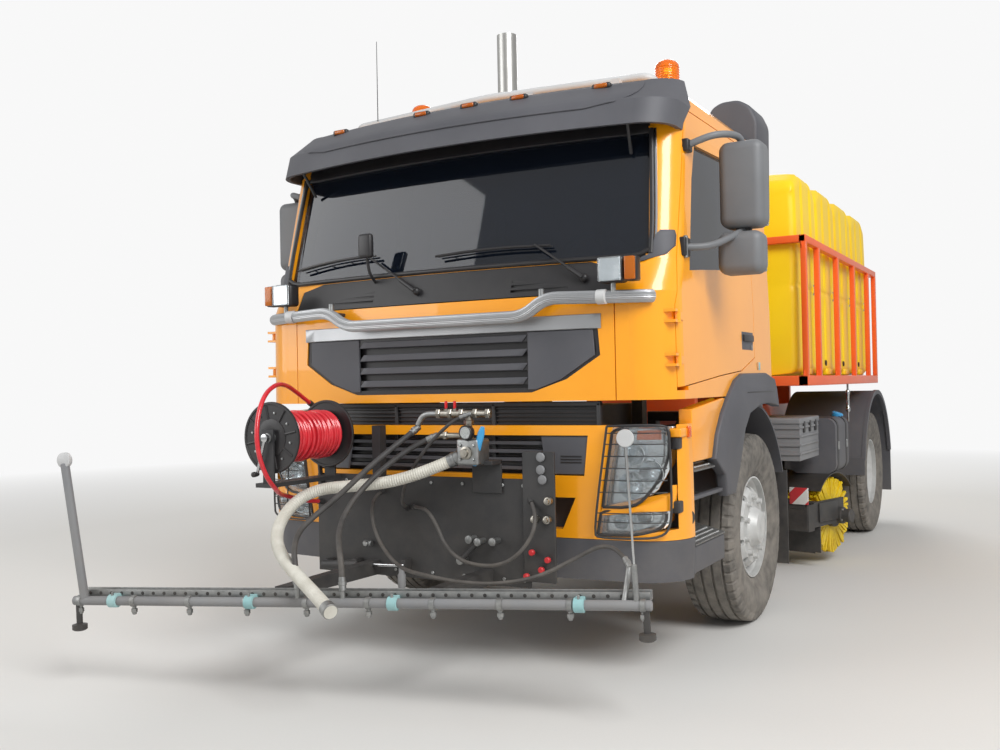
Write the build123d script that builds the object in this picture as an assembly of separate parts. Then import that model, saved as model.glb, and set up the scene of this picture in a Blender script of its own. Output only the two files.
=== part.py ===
"""Street sweeper truck: two-axle forward-cab truck with water tanks, a brush between the axles,
and a washing bar, a hose reel and a hand-wash manifold in front.

While it is modelled, +X is the truck's left, -Y its front, Z is up from the ground, and Y = 0 is the
front axle. At the end the whole part is moved along Y, so that the origin is under its middle.
"""

from build123d import *
import math
import os

os.makedirs("parts", exist_ok=True)

# Running gaps
FIT = 0.3
SEAM = 5.0

# Wheels and axles
TYRE_R = 535.0
TYRE_W = 312.0
BEAD_R = 286.0
RIM_W = 229.0
RIM_SHELL = 9.0
WHEELBASE = 3800.0
FRONT_WHEEL_X = 1044.0
TWIN_OUTER_X = 1072.0
TWIN_PITCH = 350.0
KINGPIN_X = 860.0
KINGPIN_R = 24.0
SPINDLE_R = 42.0
KNUCKLE_EYE_R = 52.0
KNUCKLE_EYE_H = 130.0
KNUCKLE_EAR = 40.0
STEER_ARM = 190.0
STEER_MAX = 35.0
STUD_COUNT = 10
STUD_PCD = 335.0

# Chassis
RAIL_X = 425.0
RAIL_H = 290.0
RAIL_FLANGE = 85.0
RAIL_T = 9.0
RAIL_TOP = 990.0
RAIL_FRONT = -1180.0
GEARBOX_REAR = 900.0
SHAFT_BEARING_Y = 2350.0
RAIL_REAR = 4800.0
CROSS_R = 40.0
COUPLING_X = 160.0
COUPLING_Z = 100.0
COUPLING_HOLE_R = 10.5
DRAWBEAM_T = 16.0
SPRING_W = 80.0
SPRING_X = 410.0
SPRING_EYE_Z = 680.0
CAB_MOUNT_Y = (-1100.0, 240.0)

# Cab
CAB_REAR = 300.0
CAB_WALL = 62.0
CAB_FLOOR = 1392.0
LID_TOP = 1787.0
LID_BOTTOM = 1290.0
LID_HALF = 940.0
LID_T = 40.0
COWL_TOP = 1942.0
GLASS_T = 7.0
FIREWALL_Y = -1350.0
DOOR_HINGE_X = 1205.0
DOOR_HINGE_Y = -1330.0
DOOR_MAX = 75.0
DOOR_CLEAR = 15.0
DOOR_FRONT_T = 95.0
HINGE_PIN_R = 8.0
HINGE_R = 15.0
HINGE_H = 60.0
HINGE_EAR = 12.0
HINGE_Z = (1440.0, 1640.0)
ARCH_R = 690.0
FENDER_X = 1236.0
FENDER_T = 14.0

# Exhaust
STACK_X = -634.0
STACK_Y = 470.0
STACK_R = 70.0
STACK_TOP = 3830.0

# Bumper
BUMPER_BOTTOM = 458.0
BUMPER_TOP = 648.0
MASK_TOP = 1175.0
MASK_T = 60.0

# Outline of the front fender's flank, as (y, z)
FLANK_OUTLINE = (
    (-735.0, 790.0), (-885.0, 985.0), (-805.0, 1105.0), (-680.0, 1258.0), (-374.0, 1385.0),
    (315.0, 1385.0), (440.0, 1208.0), (700.0, 820.0), (700.0, 760.0), (-735.0, 760.0),
)

# Tank body
FRAME_X = 1225.0
FRAME_FRONT = 1232.0
FRAME_REAR = 4120.0
FRAME_BOTTOM = 1327.0
FRAME_TOP = 2356.0
POST = 70.0
TANK_COUNT = 4
TANK_PITCH = 700.0
TANK_FRONT = 1290.0
TANK_GAP = 24.0
TANK_TOP = 2780.0

# Brush
BRUSH_R = 288.0
BRUSH_CORE_R = 90.0
BRUSH_SHAFT_R = 30.0
BRUSH_L = 2340.0
BRUSH_X = 90.0
BRUSH_Y = 2370.0
BRUSH_LIFT = 66.0
BRUSH_YAW = -15.0
BRUSH_DROP = 2.6
BRUSH_PIVOT_Y = 1150.0
BRUSH_PIVOT_Z = 610.0
BRUSH_PIVOT_R = 20.0
BRUSH_ARM_X = 520.0

# Washing bar
BAR_Y = -2312.0
BAR_Z = 452.0
BAR_L = 2700.0
BAR_R = 21.0
BAR_BACK = 90.0
BAR_YAW = 12.5
BAR_TILT = -2.0
NOZZLE_COUNT = 10
NOZZLE_PITCH = 292.0

# Plate that carries the hose reel and the manifold, and the pipe's line in front of it
PLATE_Y = -1580.0
PLATE_T = 12.0
PIPE_Y = -1690.0

# Hose reel, its axle along the truck
REEL_X = -582.0
REEL_Z = 1140.0
REEL_FRONT = -2062.0
REEL_REAR = -1642.0
REEL_R = 172.0
REEL_CORE_R = 84.0
REEL_AXLE_R = 16.0

# Free hoses: name, radius, points of the route
HOSES = (
    ("hose_white", 29.0, (
        (238, -1697, 1033), (110, -1745, 982), (-90, -1830, 915), (-300, -1885, 895), (-480, -1920, 872),
        (-568, -2010, 795), (-570, -2140, 700), (-455, -2270, 630), (-215, -2405, 585), (10, -2490, 522),
        (150, -2540, 472))),
    ("hose_red", 11.0, (
        (-700, -1640, 1300), (-690, -1740, 1350), (-640, -1880, 1392), (-575, -2030, 1398),
        (-535, -2160, 1345), (-512, -2235, 1230), (-498, -2250, 1095), (-490, -2205, 970), (-515, -2100, 888),
        (-600, -1980, 860), (-640, -1860, 833), (-662, -1740, 800), (-664, -1626, 786))),
    ("hose_green", 8.0, (
        (318, -1718, 1238), (255, -1735, 1216), (185, -1752, 1160), (115, -1755, 1095), (30, -1745, 1005),
        (-45, -1715, 915), (-90, -1685, 840), (-112, -1655, 795), (-120, -1620, 780))),
    ("hose_black_1", 9.0, (
        (-60, -1620, 780), (-20, -1655, 783), (60, -1695, 780), (130, -1725, 720), (185, -1745, 630),
        (270, -1755, 565), (380, -1760, 545), (500, -1760, 556), (590, -1740, 615), (640, -1705, 705),
        (624, -1655, 785), (585, -1618, 825))),
    ("hose_black_2", 9.0, (
        (-267, -1622, 842), (-262, -1678, 830), (-238, -1740, 765), (-185, -1780, 660), (-80, -1825, 570),
        (60, -1905, 530), (240, -2000, 534), (440, -2060, 530), (640, -2070, 536), (810, -2005, 566),
        (940, -1910, 640), (1050, -1888, 702), (1150, -1925, 688), (1208, -1980, 640))),
    ("hose_black_3", 13.0, (
        (115, -1690, 1133), (30, -1735, 1096), (-50, -1815, 1022), (-105, -1905, 945), (-140, -2000, 860),
        (-130, -2095, 785), (-90, -2180, 730), (-30, -2255, 685), (14, -2296, 612), (27, -2306, 515))),
    ("hose_black_4", 13.0, (
        (10, -1692, 1171), (-8, -1785, 1122), (-75, -1895, 1035), (-140, -1985, 945), (-200, -2060, 862),
        (-255, -2135, 795), (-274, -2220, 742), (-242, -2305, 684), (-200, -2347, 605), (-182, -2353, 515))),
)
FERRULE_L = 48.0
FERRULE_STEP = 4.0
BEND_SHARE = 0.45

parts = {}


def block(x, y, z):
    """A box from three (low, high) pairs."""
    centre = Pos((x[0] + x[1]) / 2, (y[0] + y[1]) / 2, (z[0] + z[1]) / 2)
    return centre * Box(x[1] - x[0], y[1] - y[0], z[1] - z[0])


def side_prism(points, x_low, x_high):
    """An outline of (y, z) points, carried along X."""
    face = make_face(Plane.YZ.offset(x_low) * Polyline(*points, close=True))
    return extrude(face, amount=x_high - x_low, dir=(1, 0, 0))


def front_prism(points, y_low, y_high):
    """An outline of (x, z) points, carried along Y."""
    plane = Plane(origin=(0, y_low, 0), x_dir=(1, 0, 0), z_dir=(0, -1, 0))
    face = make_face(plane * Polyline(*points, close=True))
    return extrude(face, amount=y_high - y_low, dir=(0, 1, 0))


def plan_prism(points, z_low, z_high):
    """An outline of (x, y) points, carried along Z."""
    face = make_face(Plane.XY.offset(z_low) * Polyline(*points, close=True))
    return extrude(face, amount=z_high - z_low, dir=(0, 0, 1))


def rod(start, end, radius):
    """A round bar from one point to another."""
    axis = Vector(*end) - Vector(*start)
    bottom = (Align.CENTER, Align.CENTER, Align.MIN)
    return Plane(origin=start, z_dir=axis) * Cylinder(radius, axis.length, align=bottom)


def bent_rod(points, radius, bend):
    """A round bar along straight runs joined by arcs."""
    path = FilletPolyline(*points, radius=bend)
    section = Plane(origin=path @ 0, z_dir=path % 0) * Circle(radius)
    return sweep(section, path=path)


def hose(points, radius):
    """A hose along straight runs joined by tangent arcs."""
    knots = [Vector(*point) for point in points]
    bends = []
    for before, at, after in zip(knots, knots[1:], knots[2:]):
        run_in, run_out = at - before, after - at
        half_turn = math.radians(run_in.get_angle(run_out)) / 2
        bends.append(BEND_SHARE * min(run_in.length, run_out.length) / math.tan(half_turn))
    path = FilletPolyline(*points, radius=bends)
    print("bend radii", [round(bend) for bend in bends], "length", round(path.length))
    section = Plane(origin=path @ 0, z_dir=path % 0) * Circle(radius)
    return sweep(section, path=path)


def ferrule(name, end):
    """The metal socket that holds a hose's first (0) or last (-1) end, from just off it."""
    radius, points = next((row[1], row[2]) for row in HOSES if row[0] == name)
    tip = Vector(*points[end])
    out = (tip - Vector(*points[1 if end == 0 else -2])).normalized()
    return rod(tuple(tip + out * FIT), tuple(tip + out * FERRULE_L), radius + FERRULE_STEP)


def turned(points):
    """A solid turned about the X axis from an outline of (x, radius) points."""
    return revolve(make_face(Polyline(*points, close=True)), axis=Axis.X)


def join(pieces):
    """One solid, or one set of solids, from pieces that touch or overlap."""
    solids = [solid for piece in pieces for solid in piece.solids()]
    if len(solids) > 1:
        solids = solids[0].fuse(*solids[1:]).solids()
    return Compound(list(solids))


def flip(shape):
    """The same shape on the truck's other side."""
    return mirror(shape, about=Plane.YZ)


def both(shape):
    """The shape and its twin on the other side."""
    return join([shape, flip(shape)])


def plan_outline(z, front, corner_x, corner_y, side_x, side_y, rear, inset):
    """Plan view of the cab at one height, drawn inwards by inset: a bowed front, round corners."""
    front, corner_y, rear = front + inset, corner_y + inset, rear - inset
    side_x, corner_x = side_x - inset, corner_x - 0.4 * inset
    side_y = side_y + 0.4 * inset
    mid_x = (corner_x + side_x) / 2 + 0.2 * (corner_x - side_x) * -1
    mid_y = (corner_y + side_y) / 2 - 0.2 * (side_y - corner_y)
    a, b = (-corner_x, corner_y, z), (corner_x, corner_y, z)
    c, d = (side_x, side_y, z), (side_x, rear, z)
    e, f = (-side_x, rear, z), (-side_x, side_y, z)
    edges = [ThreePointArc(a, (0, front, z), b), ThreePointArc(b, (mid_x, mid_y, z), c), Line(c, d)]
    edges += [Line(d, e), Line(e, f), ThreePointArc(f, (-mid_x, mid_y, z), a)]
    return Face(Wire(edges))


def form(rows, rear, inset=0.0):
    """A body lofted straight from height to height. Rows: z, front, corner x, y, side x, y."""
    faces = []
    for z, front, corner_x, corner_y, side_x, side_y in rows:
        faces.append(plan_outline(z, front, corner_x, corner_y, side_x, side_y, rear, inset))
    return loft(faces, ruled=True)


# Columns: height, front at the middle, corner x and y, side x and where the side starts
CAB_ROWS = (
    (LID_BOTTOM, -1480.0, 1010.0, -1440.0, 1212.0, -1270.0),
    (LID_TOP, -1480.0, 1010.0, -1440.0, 1206.0, -1270.0),
    (COWL_TOP, -1430.0, 1040.0, -1345.0, 1200.0, -1215.0),
    (2590.0, -1290.0, 1040.0, -1195.0, 1172.0, -1065.0),
    (2760.0, -1200.0, 1010.0, -1110.0, 1150.0, -980.0),
    (2850.0, -1060.0, 930.0, -1000.0, 1060.0, -880.0),
)
MASK_ROWS = (
    (BUMPER_BOTTOM, -1478.0, 1000.0, -1425.0, 1212.0, -1215.0),
    (BUMPER_TOP, -1490.0, 1010.0, -1440.0, 1222.0, -1225.0),
    (MASK_TOP, -1480.0, 1010.0, -1438.0, 1216.0, -1260.0),
)
VISOR_ROWS = (
    (2572.0, -1480.0, 1010.0, -1370.0, 1172.0, -1170.0),
    (2700.0, -1440.0, 1010.0, -1320.0, 1180.0, -1130.0),
    (2835.0, -1230.0, 990.0, -1130.0, 1150.0, -1010.0),
)
DOOR_OUTLINE = (
    (-1325.0, 1345.0), (-1325.0, 1720.0), (-1160.0, 2324.0), (-1085.0, 2600.0), (-1000.0, 2690.0),
    (-60.0, 2700.0), (-60.0, 1500.0), (-330.0, 1425.0), (-700.0, 1400.0),
)
WINDOW_OUTLINE = (
    (-1140.0, 1895.0), (-1025.0, 2348.0), (-950.0, 2530.0), (-190.0, 2560.0), (-190.0, 1965.0),
    (-600.0, 1945.0), (-980.0, 1912.0),
)
SCREEN_OUTLINE = ((-1075.0, 1965.0), (1075.0, 1965.0), (1040.0, 2575.0), (-1040.0, 2575.0))


def grown(points, step):
    """An outline of points moved outwards by step, or inwards when step is below zero."""
    wire = Polyline(*points, close=True)
    moved = offset(make_face(wire), amount=step, kind=Kind.INTERSECTION)
    return moved


def side_cut(points, step, x_low, x_high):
    """A side outline grown by step, carried along X."""
    face = Plane.YZ.offset(x_low) * grown(points, step)
    return extrude(face, amount=x_high - x_low, dir=(1, 0, 0))


def front_cut(points, step, y_low, y_high):
    """A front outline grown by step, carried along Y."""
    plane = Plane(origin=(0, y_low, 0), x_dir=(1, 0, 0), z_dir=(0, -1, 0))
    return extrude(plane * grown(points, step), amount=y_high - y_low, dir=(0, 1, 0))


def make_wheels():
    """Front wheels on their knuckles, twin rear wheels, and the axles that carry them."""
    half = TYRE_W / 2
    tyre_outline = (
        (-RIM_W / 2 - 8, BEAD_R + 14), (-half + 4, BEAD_R + 95), (-half, 430), (-half + 14, TYRE_R - 26),
        (-half + 46, TYRE_R - 4), (0, TYRE_R), (half - 46, TYRE_R - 4), (half - 14, TYRE_R - 26),
        (half, 430), (half - 4, BEAD_R + 95), (RIM_W / 2 + 8, BEAD_R + 14), (RIM_W / 2 + 8, BEAD_R),
        (-RIM_W / 2 - 8, BEAD_R),
    )
    tyre = turned(tyre_outline)
    lip = BEAD_R - FIT
    edge = RIM_W / 2 + 8
    well = BEAD_R - 40
    barrel = turned((
        (-edge, lip), (-edge + 30, lip), (-30, lip), (30, lip), (edge - 30, lip), (edge, lip),
        (edge, lip - RIM_SHELL), (edge - 34, lip - RIM_SHELL), (40, well - RIM_SHELL),
        (-40, well - RIM_SHELL), (-edge + 34, lip - RIM_SHELL), (-edge, lip - RIM_SHELL),
    ))
    # The disc bulges outwards from the barrel to a flat ring of studs round the hub
    disc_x = 118.0
    disc = turned((
        (38, well - 4), (50, well - 4), (disc_x - 18, 222), (disc_x, 200), (disc_x, 120),
        (disc_x - 12, 120), (disc_x - 12, 192), (disc_x - 30, 212),
    ))
    hand_hole = rod((0, 0, 213), (160, 0, 213), 18)
    studs = []
    for index in range(STUD_COUNT):
        turn = Rot(360 / STUD_COUNT * index, 0, 0)
        disc = disc - turn * hand_hole
        studs.append(turn * rod((disc_x - 6, 0, STUD_PCD / 2), (disc_x + 26, 0, STUD_PCD / 2), 15))
    hub = turned((
        (-60, SPINDLE_R + FIT), (-60, 205), (30, 205), (30, 150), (disc_x - 12, 150), (disc_x - 12, 140),
        (disc_x, 140), (disc_x, 118), (disc_x + 12, 110), (disc_x + 46, 88), (disc_x + 52, 60),
        (disc_x + 52, 0), (disc_x + 20, 0), (disc_x + 20, SPINDLE_R + FIT),
    ))
    rim_front = join([barrel, disc, hub] + studs)

    for side, sign in (("left", 1), ("right", -1)):
        place = Pos(sign * FRONT_WHEEL_X, 0, TYRE_R)
        face_out = place if sign > 0 else place * Rot(0, 0, 180)
        parts["tyre_front_" + side] = face_out * tyre
        parts["rim_front_" + side] = face_out * rim_front

    tube_r = 60.0
    # The twin wheels: two barrels whose discs meet at the hub's flange between them
    outer, inner = TWIN_PITCH / 2, -TWIN_PITCH / 2
    deep = turned((
        (30, well - 4), (44, well - 4), (-outer + 64, 206), (-outer + 12, 190), (-outer + 12, 110),
        (-outer, 110), (-outer, 196), (-outer + 52, 218),
    ))
    for index in range(STUD_COUNT):
        deep = deep - Rot(360 / STUD_COUNT * index, 0, 0) * rod((-outer, 0, 222), (60, 0, 222), 22)
    outer_rim = Pos(outer, 0, 0) * (barrel + deep)
    inner_rim = Pos(inner, 0, 0) * Rot(0, 0, 180) * (barrel + deep)
    rear_hub = turned((
        (-120, tube_r + FIT), (-120, 190), (0, 190), (0, 130), (90, 122), (150, 96), (150, 0),
        (110, 0), (110, tube_r + FIT),
    ))
    rear_studs = [
        Rot(360 / STUD_COUNT * index, 0, 0) * rod((-30, 0, STUD_PCD / 2), (44, 0, STUD_PCD / 2), 15)
        for index in range(STUD_COUNT)
    ]
    rims_rear = join([outer_rim, inner_rim, rear_hub] + rear_studs)
    tyres_rear = join([Pos(outer, 0, 0) * tyre, Pos(inner, 0, 0) * tyre])
    twin_x = TWIN_OUTER_X - TWIN_PITCH / 2
    for side, sign in (("left", 1), ("right", -1)):
        place = Pos(sign * twin_x, WHEELBASE, TYRE_R)
        face_out = place if sign > 0 else place * Rot(0, 0, 180)
        parts["tyres_rear_" + side] = face_out * tyres_rear
        parts["rims_rear_" + side] = face_out * rims_rear

    # Steering knuckle: two ears and a kingpin round the beam's eye, a spindle and a steering arm
    eye_half = KNUCKLE_EYE_H / 2
    ear_low = TYRE_R - eye_half - FIT - KNUCKLE_EAR
    ear_high = TYRE_R + eye_half + FIT
    ears = [
        Pos(KINGPIN_X, 0, z + KNUCKLE_EAR / 2) * Cylinder(KNUCKLE_EYE_R, KNUCKLE_EAR)
        for z in (ear_low, ear_high)
    ]
    ears += [
        block((KINGPIN_X, KINGPIN_X + 100), (-44, 44), (z, z + KNUCKLE_EAR)) for z in (ear_low, ear_high)
    ]
    kingpin = Pos(KINGPIN_X, 0, TYRE_R) * Cylinder(KINGPIN_R, KNUCKLE_EYE_H + 2 * KNUCKLE_EAR)
    web = block((KINGPIN_X + 66, KINGPIN_X + 100), (-70, 70), (ear_low, ear_high + KNUCKLE_EAR))
    spindle = rod((KINGPIN_X + 90, 0, TYRE_R), (FRONT_WHEEL_X + 130, 0, TYRE_R), SPINDLE_R)
    arm_t = KNUCKLE_EAR - 14
    arm = block((KINGPIN_X - 24, KINGPIN_X + 34), (20, STEER_ARM), (ear_low, ear_low + arm_t))
    arm_eye = Pos(KINGPIN_X, STEER_ARM, ear_low + arm_t / 2) * Cylinder(34, arm_t)
    arm_pin = Pos(KINGPIN_X, STEER_ARM, ear_low - 18) * Cylinder(13, 40)
    knuckle = join(ears + [kingpin, web, spindle, arm, arm_eye, arm_pin])
    parts["knuckle_left"] = knuckle
    parts["knuckle_right"] = flip(knuckle)

    rod_z = ear_low - 24
    eye = Pos(KINGPIN_X, STEER_ARM, rod_z) * Cylinder(30, 40)
    eye = eye - Pos(KINGPIN_X, STEER_ARM, rod_z) * Cylinder(13 + FIT, 60)
    tie = rod((-KINGPIN_X + 26, STEER_ARM, rod_z), (KINGPIN_X - 26, STEER_ARM, rod_z), 19)
    parts["tie_rod"] = join([eye, flip(eye), tie])

    # Front beam: an eye at each end, dropping to a flat middle under the springs
    beam_eye = Pos(KINGPIN_X, 0, TYRE_R) * Cylinder(KNUCKLE_EYE_R, KNUCKLE_EYE_H)
    drop = 95.0
    beam = front_prism((
        (-KINGPIN_X + 20, TYRE_R + 40), (-640, TYRE_R - drop + 48), (640, TYRE_R - drop + 48),
        (KINGPIN_X - 20, TYRE_R + 40), (KINGPIN_X - 20, TYRE_R - 48), (640, TYRE_R - drop - 48),
        (-640, TYRE_R - drop - 48), (-KINGPIN_X + 20, TYRE_R - 48),
    ), -45, 45)
    beam = join([beam, beam_eye, flip(beam_eye)])
    pin_hole = Pos(KINGPIN_X, 0, TYRE_R) * Cylinder(KINGPIN_R + FIT, KNUCKLE_EYE_H + 10)
    parts["front_axle"] = beam - pin_hole - flip(pin_hole)

    # Rear axle: a round drive head in a housing, hub tubes out to the wheels, shaft to the gearbox
    housing = rod((-twin_x - 110 + 4, WHEELBASE, TYRE_R), (twin_x + 110 - 4, WHEELBASE, TYRE_R), tube_r)
    head = Pos(0, WHEELBASE, TYRE_R) * Sphere(215)
    head = head & block((-400, 400), (WHEELBASE - 180, WHEELBASE + 200), (TYRE_R - 205, TYRE_R + 205))
    drum_gap = twin_x - 120 - 6
    shoulder = rod((-drum_gap, WHEELBASE, TYRE_R), (drum_gap, WHEELBASE, TYRE_R), 85)
    nose = rod((0, WHEELBASE - 150, TYRE_R + 20), (0, WHEELBASE - 400, TYRE_R + 62), 90)
    parts["rear_axle"] = join([housing, head, shoulder, nose])
    shaft_points = ((0, GEARBOX_REAR + 1, 850), (0, SHAFT_BEARING_Y, 838), (0, WHEELBASE - 401, TYRE_R + 62))
    front_shaft = rod(shaft_points[0], shaft_points[1], 45)
    rear_shaft = rod(shaft_points[1], shaft_points[2], 45)
    joint = Pos(*shaft_points[1]) * Sphere(70)
    parts["propeller_shaft"] = join([front_shaft, joint, rear_shaft]) - nose

    # Leaf springs: a shallow bow of leaves from hanger to hanger, one pair on each axle
    springs = []
    rows = ((0.0, TYRE_R - drop + 48, 860.0), (WHEELBASE, TYRE_R + 85, 840.0))
    for axle_y, seat_z, reach in rows:
        bow = 34.0
        a, b = (axle_y - reach, SPRING_EYE_Z), (axle_y + reach, SPRING_EYE_Z)
        top = Plane.YZ.offset(SPRING_X - SPRING_W / 2) * ThreePointArc(a, (axle_y, seat_z + FIT + 20), b)
        line = top
        low = Plane.YZ.offset(SPRING_X - SPRING_W / 2) * ThreePointArc(
            (a[0], a[1] - bow), (axle_y, seat_z + FIT), (b[0], b[1] - bow))
        ends = [Line(top @ 0, low @ 0), Line(top @ 1, low @ 1)]
        leaf = extrude(Face(Wire([line, low] + ends)), amount=SPRING_W, dir=(1, 0, 0))
        springs.append(both(leaf))
    parts["leaf_springs"] = join(springs)


def make_chassis():
    """Two channel rails and their cross members, the engine and gearbox as one block."""
    rail = block((RAIL_X - RAIL_FLANGE, RAIL_X), (RAIL_FRONT, RAIL_REAR), (RAIL_TOP - RAIL_H, RAIL_TOP))
    rail = rail - block((RAIL_X - RAIL_FLANGE - 1, RAIL_X - RAIL_T), (RAIL_FRONT - 1, RAIL_REAR + 1),
                        (RAIL_TOP - RAIL_H + RAIL_T, RAIL_TOP - RAIL_T))
    pieces = [rail, flip(rail)]
    inner = RAIL_X - RAIL_T
    for y, z in ((-1100.0, 860.0), (1050.0, 945.0), (2950.0, 880.0), (4520.0, 850.0)):
        pieces.append(rod((-inner, y, z), (inner, y, z), CROSS_R))
    # Brackets that carry the cab's floor
    for y in CAB_MOUNT_Y:
        mount = block((RAIL_X - 70, RAIL_X), (y - 40, y + 40), (RAIL_TOP - 5, CAB_FLOOR - CAB_WALL - FIT))
        pieces += [mount, flip(mount)]
    # Drawbeam: a plate across the rear with the four holes of a drawbar coupling
    middle_z = RAIL_TOP - RAIL_H / 2
    beam = block((-inner - 1, inner + 1), (RAIL_REAR - DRAWBEAM_T, RAIL_REAR), (RAIL_TOP - RAIL_H, RAIL_TOP))
    for x in (-COUPLING_X / 2, COUPLING_X / 2):
        for z in (middle_z - COUPLING_Z / 2, middle_z + COUPLING_Z / 2):
            beam = beam - rod((x, RAIL_REAR - 50, z), (x, RAIL_REAR + 50, z), COUPLING_HOLE_R)
    pieces.append(beam)
    # Spring hangers below the rails
    for y in (-860.0, 860.0, WHEELBASE - 840.0, WHEELBASE + 840.0):
        hanger = block((SPRING_X - 44, SPRING_X + 14), (y - 60, y + 60),
                       (SPRING_EYE_Z + FIT, RAIL_TOP - RAIL_H + 2))
        pieces += [hanger, flip(hanger)]
    hanger = block((-RAIL_X + RAIL_T, RAIL_X - RAIL_T), (SHAFT_BEARING_Y - 30, SHAFT_BEARING_Y + 30), (730, 960))
    pieces.append(hanger - rod((0, SHAFT_BEARING_Y - 40, 838), (0, SHAFT_BEARING_Y + 40, 838), 84))
    # Lugs and pins on which the brush's frame swings
    lug_low = BRUSH_PIVOT_Z - 40
    for x in (-BRUSH_ARM_X, BRUSH_ARM_X):
        sign = 1 if x > 0 else -1
        pin_ends = (x - 75, BRUSH_PIVOT_Y, BRUSH_PIVOT_Z), (x + 75, BRUSH_PIVOT_Y, BRUSH_PIVOT_Z)
        pieces.append(rod(pin_ends[0], pin_ends[1], BRUSH_PIVOT_R))
        for x0 in (x - 75, x + 45):
            pieces.append(block((x0, x0 + 30), (BRUSH_PIVOT_Y - 40, BRUSH_PIVOT_Y + 40), (lug_low, 780)))
        reach = sorted((sign * (RAIL_X - 2), x + sign * 75))
        pieces.append(block(reach, (BRUSH_PIVOT_Y - 40, BRUSH_PIVOT_Y + 40), (740, 780)))
    parts["chassis_frame"] = join(pieces)
    engine = block((-330, 330), (-780, 420), (760, 1240))
    gearbox = side_prism(((418, 780), (418, 1200), (700, 1080), (GEARBOX_REAR, 930), (GEARBOX_REAR, 760)),
                         -210, 210)
    feet = [block((-inner + FIT, inner - FIT), (y, y + 80), (820, 860)) for y in (-500.0, 200.0)]
    parts["engine_block"] = join([engine, gearbox] + feet)


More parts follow.
